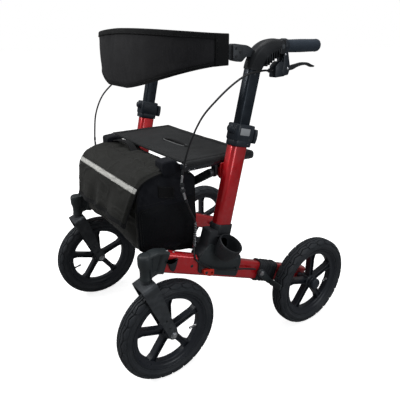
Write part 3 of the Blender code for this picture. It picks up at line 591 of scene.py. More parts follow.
def make_tyre(wheel, side, body):
    low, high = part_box(wheel + "_tyre")
    centre, radius, half_width = (low + high) / 2, (high.z - low.z) / 2, (high.x - low.x) / 2
    profile = tyre_profile(radius, half_width)
    reaches = [0.0]
    for a, b in zip(profile, profile[1:]):
        reaches.append(reaches[-1] + (b - a).length)
    normals = []
    for i in range(len(profile)):
        way = profile[min(i + 1, len(profile) - 1)] - profile[max(i - 1, 0)]
        normals.append(Vector((way.y, -way.x)).normalized())
    matrix = axes_at(centre, Y * side, Z)
    count = TREADS * TREAD_STEPS
    rings = []
    for step in range(count):
        angle = 2 * math.pi * step / count
        out = Vector((math.cos(angle), math.sin(angle), 0))
        halves = []
        for hand, offset in ((1, 0.0), (-1, 0.5)):
            half = []
            for place, reach, normal in zip(profile, reaches, normals):
                cut = tread_cut(step / TREAD_STEPS + offset, reach) * TREAD_DEPTH if reach < 0.036 else 0
                spot = place - normal * cut
                half.append(matrix @ (out * spot.x + Z * spot.y * hand))
            halves.append(half)
        rings.append(halves[0][::-1] + halves[1][1:])
    shape = Shape()
    shape.skin(rings, cyclic=True)
    add(wheel + "_tyre_casing", shape, TYRE, body, [wheel + "_tyre"], 50)


def add_spoke(shape, matrix, angle, start, end):
    """A channel-section spoke that flares into the rim."""
    turn = matrix @ Matrix.Rotation(math.radians(angle), 4, "Z")
    rings = []
    for step in range(11):
        r = start + (end - start) * step / 10
        flare = 0.006 * ramp(r, end - 0.016, end) + 0.002 * ramp(r, start + 0.02, start)
        w = 0.0082 + flare
        t = 0.0098
        rib, web = 0.0028, 0.0034
        outline = [(-w, -t), (-w + rib, -t), (-w + rib + 0.0008, -web), (w - rib - 0.0008, -web)]
        outline += [(w - rib, -t), (w, -t), (w, t), (w - rib, t), (w - rib - 0.0008, web)]
        outline += [(-w + rib + 0.0008, web), (-w + rib, t), (-w, t)]
        rings.append([turn @ Vector((r, a, b)) for a, b in outline])
    shape.skin(rings)


def make_rim(wheel, side, body):
    low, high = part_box(wheel + "_rim")
    radius = (high.z - low.z) / 2
    matrix = axes_at((low + high) / 2, Y * side, Z)
    shape = Shape()
    half = [(0.0020, 0.0150), (0.0032, 0.0178), (0.0022, 0.0192), (0.0004, 0.0190), (-0.0016, 0.0168)]
    half += [(-0.0040, 0.0132), (-0.0075, 0.0112), (-0.0115, 0.0104), (-0.0140, 0.0100), (-0.0158, 0.0084)]
    half += [(-0.0166, 0.0055)]
    half = [(radius + r, w) for r, w in half]
    shape.turned(matrix, half + [(r, -w) for r, w in reversed(half)], 120)
    for number in range(5):
        add_spoke(shape, matrix, 18 + 72 * number, 0.015, radius - 0.0125)
    hub = [(0.0064, 0.0220), (0.0170, 0.0220), (0.0185, 0.0205), (0.0188, 0.0120), (0.0225, 0.0100)]
    hub += [(0.0225, -0.0100), (0.0188, -0.0120), (0.0185, -0.0205), (0.0170, -0.0220), (0.0064, -0.0220)]
    shape.turned(matrix, hub, 48)
    obj = add(wheel + "_spoked_rim", shape, RIM, body, [wheel + "_rim"], 30)
    soften_edges(obj, 0.0006, 2)

    valve = Shape()
    turn = matrix @ Matrix.Rotation(math.radians(-16), 4, "Z")
    foot = turn @ Vector((radius - 0.0155, 0, 0.002))
    way = (turn @ Vector((radius - 0.045, -0.006, 0.007)) - foot).normalized()
    stem = axes_at(foot, matrix.to_3x3() @ Z - way * way.dot(matrix.to_3x3() @ Z), way.cross(matrix.to_3x3() @ Z))
    stem = axes_at(foot, stem.to_3x3() @ X, way.cross(stem.to_3x3() @ X))
    valve.turned(stem, [(0, -0.002), (0.0042, -0.002), (0.0036, 0.004), (0.0027, 0.005), (0.0027, 0.017), (0, 0.017)], 20)
    valve.turned(stem, [(0, 0.0165), (0.0034, 0.0165), (0.0034, 0.0235), (0.0024, 0.0255), (0, 0.0258)], 12)
    add(wheel + "_valve", valve, STEEL, body, (), 30)


def soften_edges(obj, width, segments=2, angle=40):
    bevel = obj.modifiers.new("Rounded edges", "BEVEL")
    bevel.width = width
    bevel.segments = segments
    bevel.limit_method = "ANGLE"
    bevel.angle_limit = math.radians(angle)
    bevel.use_clamp_overlap = True
    return obj


def drill(obj, holes):
    """Cuts round holes, each given by its start, end and radius."""
    shape = Shape()
    for start, end, radius in holes:
        way = (end - start).normalized()
        across = X if abs(way.x) < 0.9 else Y
        across = (across - way * across.dot(way)).normalized()
        matrix = axes_at(start, across, way.cross(across))
        length = (end - start).length
        shape.turned(matrix, [(0, 0), (radius, 0), (radius, length), (0, length)], 20)
    mesh = bpy.data.meshes.new("holes")
    mesh.from_pydata([tuple(p) for p in shape.points], [], shape.faces)
    work = bmesh.new()
    work.from_mesh(mesh)
    bmesh.ops.remove_doubles(work, verts=work.verts, dist=2e-6)
    bmesh.ops.recalc_face_normals(work, faces=work.faces)
    work.to_mesh(mesh)
    work.free()
    cutter = bpy.data.objects.new("holes", mesh)
    bpy.context.scene.collection.objects.link(cutter)
    step = obj.modifiers.new("Holes", "BOOLEAN")
    step.operation = "DIFFERENCE"
    step.solver = "EXACT"
    step.object = cutter
    bake(obj)
    bpy.data.objects.remove(cutter)
    obj.data.set_sharp_from_angle(angle=math.radians(35))


def bake(obj):
    """Replaces the object's mesh with what its modifiers make of it."""
    bpy.context.view_layer.update()
    evaluated = obj.evaluated_get(bpy.context.evaluated_depsgraph_get())
    obj.data = bpy.data.meshes.new_from_object(evaluated)
    obj.modifiers.clear()


def make_rear_axle(name, side):
    """The axle, with a spacer inside the hub and a knurled cap outside it."""
    wheel = centre_of(f"{name}_rear_tyre")
    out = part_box(f"{name}_rear_axle")
    cap_end = max(abs(out[0].x), abs(out[1].x))
    matrix = axes_at((0, wheel.y, wheel.z), Y * side, Z)
    shape = Shape()
    hub_face = abs(wheel.x) + 0.023
    start = FRAME_X - 0.021
    profile = [(0, start), (0.006, start), (0.006, FRAME_X + 0.0153), (0.0105, FRAME_X + 0.0153)]
    profile += [(0.0105, abs(wheel.x) - 0.023), (0.006, abs(wheel.x) - 0.023), (0.006, hub_face)]
    profile += [(0.0165, hub_face), (0.0165, hub_face + 0.002), (0, hub_face + 0.002)]
    shape.turned(matrix, profile, 40)
    rings = []
    for step in range(96):
        angle = 2 * math.pi * step / 96
        grip = 0.0006 if step % 4 < 2 else 0.0
        way = Vector((math.cos(angle), math.sin(angle), 0))
        outline = [(0, hub_face + 0.0015), (0.0172, hub_face + 0.0015), (0.0176 + grip, hub_face + 0.003)]
        outline += [(0.0172 + grip, cap_end - 0.004), (0.0150, cap_end - 0.0008), (0.0105, cap_end)]
        outline += [(0.0095, cap_end - 0.0012), (0, cap_end - 0.0010)]
        rings.append([matrix @ (way * max(r, 1e-6) + Z * h) for r, h in outline])
    shape.skin(rings, cyclic=True)
    add(f"{name}_rear_hub_cap", shape, COLLAR, f"{name}_frame", [f"{name}_rear_axle"], 35)


def make_fork(name, side):
    """A flat plate bent into an inverted U, drilled above the axle, with the steering stem on top."""
    low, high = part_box(f"{name}_fork")
    axle = centre_of(f"{name}_front_tyre")
    steer = pivot(f"{name}_caster_swivel")
    head_low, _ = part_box(f"{name}_head_casting")
    plate = 0.003
    crown = Vector((axle.x, steer.y - 0.006, head_low.z - 0.0105))
    down = (axle - crown).normalized()
    reach = (axle - crown).length
    along = X.cross(down)
    leg = (high.x - low.x) / 2 - plate / 2 if (high.x - low.x) < 0.1 else 0.0315
    bend = 0.0085

    def half_width(drop):
        width = 0.0210 - 0.0075 * ramp(drop, 0.02, reach)
        past = drop - reach
        return width if past <= 0 else math.sqrt(max(0.0135**2 - past**2, 1e-8))

    drops = [reach + 0.0135 * math.sin(math.radians(a)) for a in range(88, 0, -8)]
    drops += [reach * (1 - i / 14) for i in range(14) if reach * (1 - i / 14) > bend]
    side_path = [(leg, d) for d in drops]
    side_path += [(leg - bend + bend * math.cos(a), bend - bend * math.sin(a)) for a in (0, 0.4, 0.8, 1.2, math.pi / 2)]
    path = side_path + [(-x, d) for x, d in reversed(side_path)]
    rings = []
    for i, (x, d) in enumerate(path):
        ahead, behind = path[min(i + 1, len(path) - 1)], path[max(i - 1, 0)]
        way = (X * (ahead[0] - behind[0]) + down * (ahead[1] - behind[1])).normalized()
        normal = along.cross(way)
        point = crown + X * x + down * d
        w = half_width(d)
        e = min(0.0006, w * 0.3)
        outline = [(w - e, -1), (w, -0.6), (w, 0.6), (w - e, 1), (-w + e, 1), (-w, 0.6), (-w, -0.6), (-w + e, -1)]
        rings.append([point + along * a + normal * b * plate / 2 for a, b in outline])
    shape = Shape()
    shape.skin(rings)
    obj = add(f"{name}_fork_plate", shape, COAT, f"{name}_caster", [f"{name}_fork"], 35)
    holes = []
    for distance in (0.029, 0.057):
        spot = crown + down * (reach - distance)
        holes.append((spot - X * 0.05, spot + X * 0.05, 0.0033))
    drill(obj, holes)

    stem = Shape()
    matrix = Matrix.Translation((axle.x, steer.y, 0))
    profile = [(0, crown.z - 0.004), (0.0135, crown.z - 0.004), (0.0135, head_low.z - 0.0012)]
    profile += [(0.0088, head_low.z - 0.0006), (0.0088, head_low.z + 0.029), (0, head_low.z + 0.029)]
    stem.turned(matrix, profile, 36)
    lug = [(0, -0.0095), (0.0085, -0.0095), (0.0085, 0), (0, 0)]
    stem.turned(axes_at(Vector((axle.x, steer.y, crown.z - 0.0015)), X, Y), lug, 6)
    add(f"{name}_fork_stem", stem, COAT, f"{name}_caster", (), 30)

    bolts = Shape()
    for hand in (1, -1):
        bolts.hex_bolt(axle + X * hand * (leg + plate / 2), X * hand, 0.0072, 0.0048)
        spacer = [(0.0052, 0), (0.0090, 0), (0.0090, leg - 0.0225 - plate / 2), (0.0052, leg - 0.0225 - plate / 2)]
        bolts.turned(axes_at(axle + X * hand * 0.0222, Y * hand, Z), spacer, 24)
    rod = [(0, -leg), (0.0048, -leg), (0.0048, leg), (0, leg)]
    bolts.turned(axes_at(axle, Y, Z), rod, 24)
    add(f"{name}_front_axle_bolt", bolts, STEEL, f"{name}_caster", [f"{name}_front_axle"], 30)


# ---------------------------------------------------------------- side frames


def run_length(node, way, height):
    """The length of a leaning bar, from its box."""
    low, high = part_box(node)
    return ((high.z - low.z) - height * abs(way.y)) / abs(way.z)


def straight(middle, way, length, steps=2):
    return [middle + way * length * (i / steps - 0.5) for i in range(steps + 1)]


def capped_bar(shape, middle, way, length, size, radius, edge=0.0012):
    """A straight bar of rounded-rectangle section with softened ends."""
    path, sections = [], []
    stops = [(-0.5 * length, edge), (-0.5 * length + edge * 0.35, edge * 0.35), (-0.5 * length + edge, 0)]
    stops += [(-s, e) for s, e in reversed(stops)]
    for distance, shrink in stops:
        path.append(middle + way * distance)
        sections.append(rounded(size[0] - 2 * shrink, size[1] - 2 * shrink, radius - shrink))
    across = X
    up = across.cross(way)
    rings = [[p + across * a + up * b for a, b in section] for p, section in zip(path, sections)]
    shape.skin(rings)


def channel_section(width, height, flange, recess):
    """A bar's section with a shallow channel down each side, between two flanges."""
    half, rise = width / 2, height / 2
    corner = [(half, rise - flange), (half, rise - 0.0030), (half - 0.0010, rise - 0.0009), (half - 0.0032, rise)]
    inner = [(half - recess, 0), (half - recess, rise - flange - 0.0035), (half - recess * 0.6, rise - flange - 0.0012)]
    quarter = inner + corner
    right = [(a, -b) for a, b in reversed(quarter[1:])] + quarter
    return right + [(-a, -b) for a, b in right]


def make_head(name, side):
    """The steering tube and the webbed arm that laps over the front of the beam."""
    low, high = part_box(f"{name}_head_casting")
    steer = pivot(f"{name}_caster_swivel")
    x = side * FRAME_X
    base, top = low.z, high.z
    shape = Shape()
    profile = [(0, top - 0.0008), (0.0080, top), (0.0135, top - 0.0010), (0.0172, top - 0.0045)]
    profile += [(0.0186, top - 0.0095), (0.0186, top - 0.0270), (0.0176, top - 0.0330), (0.0152, top - 0.0400)]
    profile += [(0.0146, top - 0.0480), (0.0146, base + 0.0060), (0.0158, base + 0.0045), (0.0158, base + 0.0008)]
    profile += [(0.0150, base), (0.0094, base), (0.0094, base + 0.0305), (0, base + 0.0305)]
    shape.turned(Matrix.Translation((x, steer.y, 0)), profile, 44)
    front = BEAM_MIDDLE - BEAM_WAY * run_length("left_side_beam", BEAM_WAY, 0.056) / 2
    stations = []
    for step in range(13):
        t = step / 12
        y = steer.y + 0.006 + (front.y - 0.003 - steer.y - 0.006) * t
        arch = 0.004 * math.sin(math.pi * t)
        upper = top - 0.004 - (top - 0.004 - (front.z + 0.0295)) * t + arch
        lower = base + 0.004 + (front.z - 0.0295 - base - 0.004) * (1 - (1 - t) ** 2.6)
        recess = 0.0004 + 0.0068 * min(ramp(t, 0.12, 0.32), ramp(t, 0.98, 0.80))
        stations.append((y, lower, upper, 0.0325, recess, BEAM_UP.lerp(Z, 1 - t).normalized()))
    rings = []
    for y, lower, upper, width, recess, up in stations:
        middle = Vector((x, y, (lower + upper) / 2))
        section = channel_section(width, upper - lower, 0.0062, recess)
        rings.append([middle + X * a + up * b for a, b in section])
    for distance in (0.006, 0.012, 0.0135):
        middle = front + BEAM_WAY * distance
        middle.x = x
        grow = 0.0 if distance > 0.013 else 0.0017
        section = channel_section(0.030 + 2 * grow, 0.056 + 2 * grow, 0.0062, 0.0004)
        rings.append([middle + X * a + BEAM_UP * b for a, b in section])
    shape.skin(rings)
    obj = add(f"{name}_steering_head", shape, PLATE, f"{name}_frame", [f"{name}_head_casting"], 40)

    screws = Shape()
    for distance in (0.010, 0.030):
        spot = front + BEAM_WAY * distance + BEAM_UP * (0.0278 if distance > 0.02 else 0.0295)
        spot.x = x + side * 0.004
        screws.rivet(spot, BEAM_UP, 0.0034, 0.0018)
    add(f"{name}_head_rivets", screws, STEEL, f"{name}_frame", (), 30)


def make_side_beam(name, side):
    middle = Vector((side * FRAME_X, BEAM_MIDDLE.y, BEAM_MIDDLE.z))
    length = run_length(f"{name}_side_beam", BEAM_WAY, 0.056)
    shape = Shape()
    capped_bar(shape, middle, BEAM_WAY, length, (0.030, 0.056), 0.0095, 0.0010)
    add(f"{name}_beam_tube", shape, RED, f"{name}_frame", [f"{name}_side_beam"], 40)
    plug = Shape()
    capped_bar(plug, middle + BEAM_WAY * (length / 2 + 0.0002), BEAM_WAY, 0.004, (0.0285, 0.0545), 0.009, 0.0016)
    add(f"{name}_beam_plug", plug, PLASTIC, f"{name}_frame", (), 40)

    outer = side * (FRAME_X + 0.015)
    screws = Shape()
    spot = beam_at(side, -0.176) - BEAM_UP * 0.001
    screws.rivet(Vector((outer, spot.y, spot.z)), X * side, 0.0042, 0.0016)
    for y in (0.150, 0.205):
        spot = beam_at(side, y) + BEAM_UP * 0.028
        screws.rivet(spot, BEAM_UP, 0.0032, 0.0014)
    add(f"{name}_beam_screws", screws, COAT, f"{name}_frame", (), 30)


def make_foot_bracket(name, side):
    """Two shells round the beam and the upright's foot, a sleeve above them and the brace's lug."""
    node = f"{name}_foot_bracket"
    x = side * FRAME_X
    whole = [(-0.1195, 0.410), (-0.0625, 0.3975), (-0.049, 0.345), (-0.014, 0.306)]
    whole += [(-0.012, 0.282), (-0.029, 0.2415), (-0.158, 0.296), (-0.157, 0.348), (-0.132, 0.362)]
    shape = Shape()
    shape.slab(side_plane(x), soften(whole, 0.006), 0.0375, 0.0022)
    collar = upright_at(side, 0.399)
    capped_bar(shape, collar, UPRIGHT_UP, 0.030, (0.0405, 0.0575), 0.013, 0.0022)
    capped_bar(shape, upright_at(side, 0.383), UPRIGHT_UP, 0.006, (0.0418, 0.0590), 0.0135, 0.0015)
    add(f"{name}_bracket_core", shape, PLASTIC, f"{name}_frame", [node], 40)

    cover = Shape()
    plate = [(-0.1585, 0.2962), (-0.1575, 0.338), (-0.146, 0.350), (-0.121, 0.374), (-0.098, 0.359)]
    plate += [(-0.062, 0.334), (-0.0142, 0.3062), (-0.0122, 0.2822), (-0.0292, 0.2414)]
    cover.slab(side_plane(x), soften(plate, 0.007), 0.0412, 0.0014)
    rim = inset(soften(plate, 0.007), 0.005)
    for hand in (1, -1):
        cover.slab(side_plane(x + hand * 0.0204), rim, 0.0016, 0.0006)
    add(f"{name}_bracket_cover", cover, PLATE, f"{name}_frame", (), 40)

    front = pivot("fold") if side > 0 else pivot("right_side_fold")
    lug_y = front.y - 0.0118 if side > 0 else front.y + 0.0118
    lug = Shape()
    outline = soften([(0.2045, 0.288), (0.2045, 0.312), (0.2335, 0.315), (0.2335, 0.285)], 0.006)
    outline = [(side * p[0], p[1]) for p in outline]
    lug.slab(axes_at((0, lug_y, 0), X, Z), outline, 0.0098, 0.0012)
    lug.turned(
        axes_at((side * abs(front.x), lug_y, front.z), Z, X),
        [(0, -0.0120), (0.0049, -0.0120), (0.0049, 0.0120), (0, 0.0120)],
        24,
    )
    add(f"{name}_brace_lug", lug, PLASTIC, f"{name}_frame", (), 35)

    screws = Shape()
    for y, z in ((-0.036, 0.2615), (-0.147, 0.3070), (-0.026, 0.2960)):
        screws.rivet(Vector((x + side * 0.0206, y, z)), X * side, 0.0034, 0.0016)
        screws.rivet(Vector((x - side * 0.0206, y, z)), -X * side, 0.0034, 0.0016)
    add(f"{name}_bracket_screws", screws, COAT, f"{name}_frame", (), 30)


def make_beam_sleeve(name, side):
    """A ribbed collar on the rear of the beam, with the brake arm's bolt."""
    low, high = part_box(f"{name}_beam_sleeve")
    middle = Vector((side * FRAME_X, (low.y + high.y) / 2, (low.z + high.z) / 2))
    middle = beam_at(side, middle.y)
    shape = Shape()
    capped_bar(shape, middle, BEAM_WAY, 0.072, (0.0365, 0.0615), 0.0115, 0.0015)
    for place, length in ((-0.0330, 0.010), (-0.0130, 0.005), (0.0, 0.005), (0.0130, 0.005), (0.0330, 0.010)):
        capped_bar(shape, middle + BEAM_WAY * place, BEAM_WAY, length, (0.0400, 0.0650), 0.0125, 0.0012)
    obj = add(f"{name}_ribbed_sleeve", shape, PLASTIC, f"{name}_frame", [f"{name}_beam_sleeve"], 40)
    bolts = Shape()
    hub = pivot(f"{name}_brake_press")
    pin = [(0, -0.004), (0.0049, -0.004), (0.0049, 0.0100), (0, 0.0100)]
    bolts.turned(axes_at(hub, Y * side, Z), pin, 24)
    bolts.hex_bolt(hub + X * side * 0.0096, X * side, 0.0062, 0.0042)
    add(f"{name}_brake_bolt", bolts, STEEL, f"{name}_frame", (), 30)


def make_brake_arm(name, side):
    """A pressed channel from the sleeve to the tyre, with a shoe across the tread."""
    hub = pivot(f"{name}_brake_press")
    wheel = centre_of(f"{name}_rear_tyre")
    low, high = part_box(f"{name}_brake_arm")
    radius = (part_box(f"{name}_rear_tyre")[1] - wheel).z
    out = Vector((0, -0.970, 0.243))
    shoe = wheel + out * (radius + 0.0085)
    x = side * (FRAME_X + 0.0245)
    shape = Shape()
    outline = band((hub.y, hub.z), (shoe.y, shoe.z), 0.0118, 0.0085)
    shape.slab(side_plane(x), outline, 0.0072, 0.0010)
    obj = add(f"{name}_brake_lever_arm", shape, COAT, f"{name}_brake_arm", [f"{name}_brake_arm"], 40)
    drill(obj, [(hub - X * 0.03, hub + X * 0.03, 0.0056)])
    way = (shoe - hub).normalized()
    way.x = 0
    way.normalize()
    pocket = hub + way * 0.052
    pocket.x = x + side * 0.0030
    channel = Shape()
    rib = band((hub.y + way.y * 0.018, hub.z + way.z * 0.018), (shoe.y - way.y * 0.006, shoe.z - way.z * 0.006), 0.0075, 0.0055)
    channel.slab(side_plane(x + side * 0.0040), rib, 0.0022, 0.0009)
    along = X.cross(out)
    matrix = axes_at(Vector((wheel.x, shoe.y, shoe.z)), along, X)
    channel.slab(matrix, rounded(0.0175, 0.044, 0.004), 0.0072, 0.0014)
    link = Vector(((x + wheel.x) / 2, shoe.y, shoe.z))
    channel.slab(axes_at(link, along, X), rounded(0.0150, abs(wheel.x - x) + 0.006, 0.003), 0.0060, 0.0010)
    add(f"{name}_brake_shoe", channel, PLATE, f"{name}_brake_arm", (), 40)


def make_upright(name, side):
    node = f"{name}_upright"
    length = run_length(node, UPRIGHT_UP, 0.050)
    middle = Vector((side * FRAME_X, UPRIGHT_MIDDLE.y, UPRIGHT_MIDDLE.z))
    shape = Shape()
    capped_bar(shape, middle, UPRIGHT_UP, length, (0.0340, 0.0500), 0.0110, 0.0008)
    add(f"{name}_upright_tube", shape, RED, f"{name}_frame", [node], 40)

    low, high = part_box(f"{name}_rail_saddle")
    inner, outer = (low.x, high.x) if side > 0 else (high.x, low.x)
    saddle = Shape()
    outline = [(outer, low.z - 0.002), (outer, high.z + 0.010), (outer - side * 0.0045, high.z + 0.008)]
    outline += [(outer - side * 0.0060, high.z), (inner, high.z), (inner - side * 0.0005, high.z - 0.010)]
    outline += [(inner + side * 0.006, low.z + 0.006)]
    depth = high.y - low.y
    saddle.slab(axes_at((0, (low.y + high.y) / 2, 0), X, Z), soften(outline, 0.006, 6), depth, 0.004)
    add(f"{name}_saddle", saddle, RED, f"{name}_frame", [f"{name}_rail_saddle"], 40)


def make_clamp(name, side):
    """The height collar with its knob, a blank plate where the real one has a label, and the lever."""
    low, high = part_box(f"{name}_clamp_collar")
    bottom = upright_at(side, 0.6196)
    top = upright_at(side, 0.674)
    shift = X * side * 0.003
    length = (top - bottom).length
    middle = (bottom + top) / 2 + shift
    shape = Shape()
    capped_bar(shape, middle + UPRIGHT_UP * 0.007, UPRIGHT_UP, length - 0.014, (0.0440, 0.0620), 0.0095, 0.0028)
    capped_bar(shape, middle - UPRIGHT_UP * (length / 2 - 0.0088), UPRIGHT_UP, 0.0172, (0.0424, 0.0585), 0.0105, 0.0022)
    knob_at = upright_at(side, 0.660, -0.027) + shift
    ear = soften([(-0.013, -0.012), (0.013, -0.012), (0.013, 0.012), (-0.013, 0.012)], 0.008)
    shape.slab(axes_at(knob_at - UPRIGHT_BACK * 0.003, X, UPRIGHT_UP), ear, 0.010, 0.003)
    knob = [(0, 0.0148), (0.0060, 0.0146), (0.0092, 0.0130), (0.0108, 0.0098), (0.0110, 0.0040), (0.0104, -0.002), (0, -0.002)]
    shape.turned(axes_at(knob_at, UPRIGHT_UP, -X) if side > 0 else axes_at(knob_at, UPRIGHT_UP, -X), knob, 36)
    add(f"{name}_height_collar", shape, COLLAR, f"{name}_frame", [f"{name}_clamp_collar"], 40)

    outer = middle + X * side * 0.0222 + UPRIGHT_UP * 0.010 - UPRIGHT_BACK * 0.004
    label = Shape()
    label.slab(axes_at(outer, UPRIGHT_BACK, UPRIGHT_UP), rounded(0.0310, 0.0175, 0.002), 0.0008, 0.0003)
    add(f"{name}_collar_plate", label, LABEL, f"{name}_frame", (), 40)

    marks = Shape()
    for drop, along in ((0.0085, 0.014), (0.0205, 0.012)):
        spot = middle + X * side * 0.0214 - UPRIGHT_UP * drop + UPRIGHT_BACK * along
        marks.rivet(spot, X * side, 0.0028, 0.0012)
    add(f"{name}_collar_screws", marks, COAT, f"{name}_frame", (), 30)

    lever = Shape()
    low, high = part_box(f"{name}_clamp_lever")
    place = Vector(((low.x + high.x) / 2, (low.y + high.y) / 2, (low.z + high.z) / 2))
    rings = []
    for step in range(13):
        t = step / 12 - 0.5
        bulge = 0.0016 * math.cos(math.pi * t) - 0.0004
        swell = 1 - 0.10 * abs(t * 2) ** 3
        centre = place + UPRIGHT_UP * t * 0.036 + UPRIGHT_BACK * bulge * 0.4
        section = rounded(0.0400 * swell, 0.0135 * swell, 0.0062)
        rings.append([centre + X * a + UPRIGHT_BACK * b for a, b in section])
    lever.skin(rings)
    for step in range(5):
        centre = place + UPRIGHT_UP * (step - 2) * 0.0058 + UPRIGHT_BACK * 0.0066
        lever.slab(axes_at(centre, X, UPRIGHT_BACK), rounded(0.030, 0.0022, 0.001), 0.0022, 0.0006)
    add(f"{name}_collar_lever", lever, COLLAR, f"{name}_clamp_lever", [f"{name}_clamp_lever"], 40)


def make_cane_cup():
    """An open rubber-rimmed cup, trimmed flat against the bracket."""
    low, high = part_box("cane_cup")
    out = Vector((0.441, 0.259, 0.860)).normalized()
    rim = Vector((0.3025, -0.0765, 0.3755))
    sideways = out.cross(Z).normalized()
    matrix = axes_at(rim, sideways, out.cross(sideways))
    shape = Shape()
    profile = [(0, -0.0418), (0.0222, -0.0415), (0.0262, -0.0300), (0.0296, -0.0150), (0.0300, -0.0010)]
    profile += [(0.0306, 0.0006), (0.0322, 0.0010), (0.0334, 0.0002), (0.0338, -0.0020), (0.0336, -0.0070)]
    profile += [(0.0324, -0.0082), (0.0322, -0.0150), (0.0312, -0.0250), (0.0258, -0.0450), (0.0225, -0.0470)]
    profile += [(0, -0.0472)]
    shape.turned(matrix, profile, 64)
    obj = add("cane_holder", shape, PLASTIC, None, ["cane_cup"], 40)
    work = bmesh.new()
    work.from_mesh(obj.data)
    cut = bmesh.ops.bisect_plane(
        work, geom=work.verts[:] + work.edges[:] + work.faces[:], plane_co=(low.x + 0.0002, 0, 0),
        plane_no=(1, 0, 0), clear_inner=True,
    )
    edges = [e for e in cut["geom_cut"] if isinstance(e, bmesh.types.BMEdge)]
    bmesh.ops.holes_fill(work, edges=edges)
    bmesh.ops.recalc_face_normals(work, faces=work.faces)
    work.to_mesh(obj.data)
    work.free()
    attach(obj, "left_frame")


def make_left_fittings():
    """The bag-hanging hook and the fold latch."""
    low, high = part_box("bag_hook")
    shape = Shape()
    outline = [(-0.2558, 0.3662), (-0.2515, 0.3605), (-0.2455, 0.3570), (-0.2390, 0.3562), (-0.2325, 0.3578)]
    outline += [(-0.2270, 0.3605), (-0.2213, 0.3637), (-0.2262, 0.3480), (-0.2307, 0.3352), (-0.2375, 0.3294)]
    outline += [(-0.2442, 0.3360), (-0.2476, 0.3480)]
    shape.slab(side_plane((low.x + high.x) / 2), soften(outline, 0.0025), high.x - low.x, 0.0016)
    add("forked_hook", shape, PLASTIC, "left_frame", ["bag_hook"], 40)

    low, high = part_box("fold_latch")
    hub = pivot("latch_turn")
    tip = Vector((0, hub.y + 0.016, hub.z - 0.006))
    shape = Shape()
    outline = [(hub.y - 0.0085, hub.z + 0.004), (hub.y - 0.0060, hub.z + 0.0080), (tip.y + 0.006, tip.z + 0.0095)]
    outline += [(tip.y + 0.0100, tip.z + 0.0070), (tip.y + 0.0095, tip.z - 0.0075), (tip.y + 0.0060, tip.z - 0.0100)]
    outline += [(tip.y - 0.004, tip.z - 0.0098), (hub.y - 0.0080, hub.z - 0.0045)]
    shape.slab(side_plane((low.x + high.x) / 2), soften(outline, 0.003), high.x - low.x, 0.0016)
    obj = add("turning_latch", shape, LATCH, "fold_latch", ["fold_latch"], 40)
    drill(obj, [(Vector((low.x - 0.01, tip.y + 0.002, tip.z)), Vector((high.x + 0.01, tip.y + 0.002, tip.z)), 0.0036)])
    tab = Shape()
    tab.rivet(Vector((high.x, hub.y, hub.z)), X, 0.0042, 0.0018)
    add("latch_screw", tab, COAT, "left_frame", (), 30)


# ---------------------------------------------------------------- handles


# The height tube's foot is out of sight in the upright, so it stops this much short.
HIDDEN_TUBE = 0.038


def make_inner_tube(name, side):
    """The sliding height tube, with its row of setting holes on the inner face."""
    node = f"{name}_inner_tube"
    low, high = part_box(node)
    length = run_length(node, UPRIGHT_UP, 0.040) - HIDDEN_TUBE
    middle = upright_at(side, (low.z + high.z) / 2) + UPRIGHT_UP * HIDDEN_TUBE / 2
    shape = Shape()
    capped_bar(shape, middle, UPRIGHT_UP, length, (0.0260, 0.0400), 0.0070, 0.0008)
    obj = add(f"{name}_height_tube", shape, TUBE, f"{name}_handle", [node], 40)
    holes = []
    for step in range(7):
        spot = upright_at(side, high.z - 0.040 - 0.0260 * step)
        holes.append((spot - X * side * 0.0110, spot - X * side * 0.0160, 0.0032))
    drill(obj, holes)


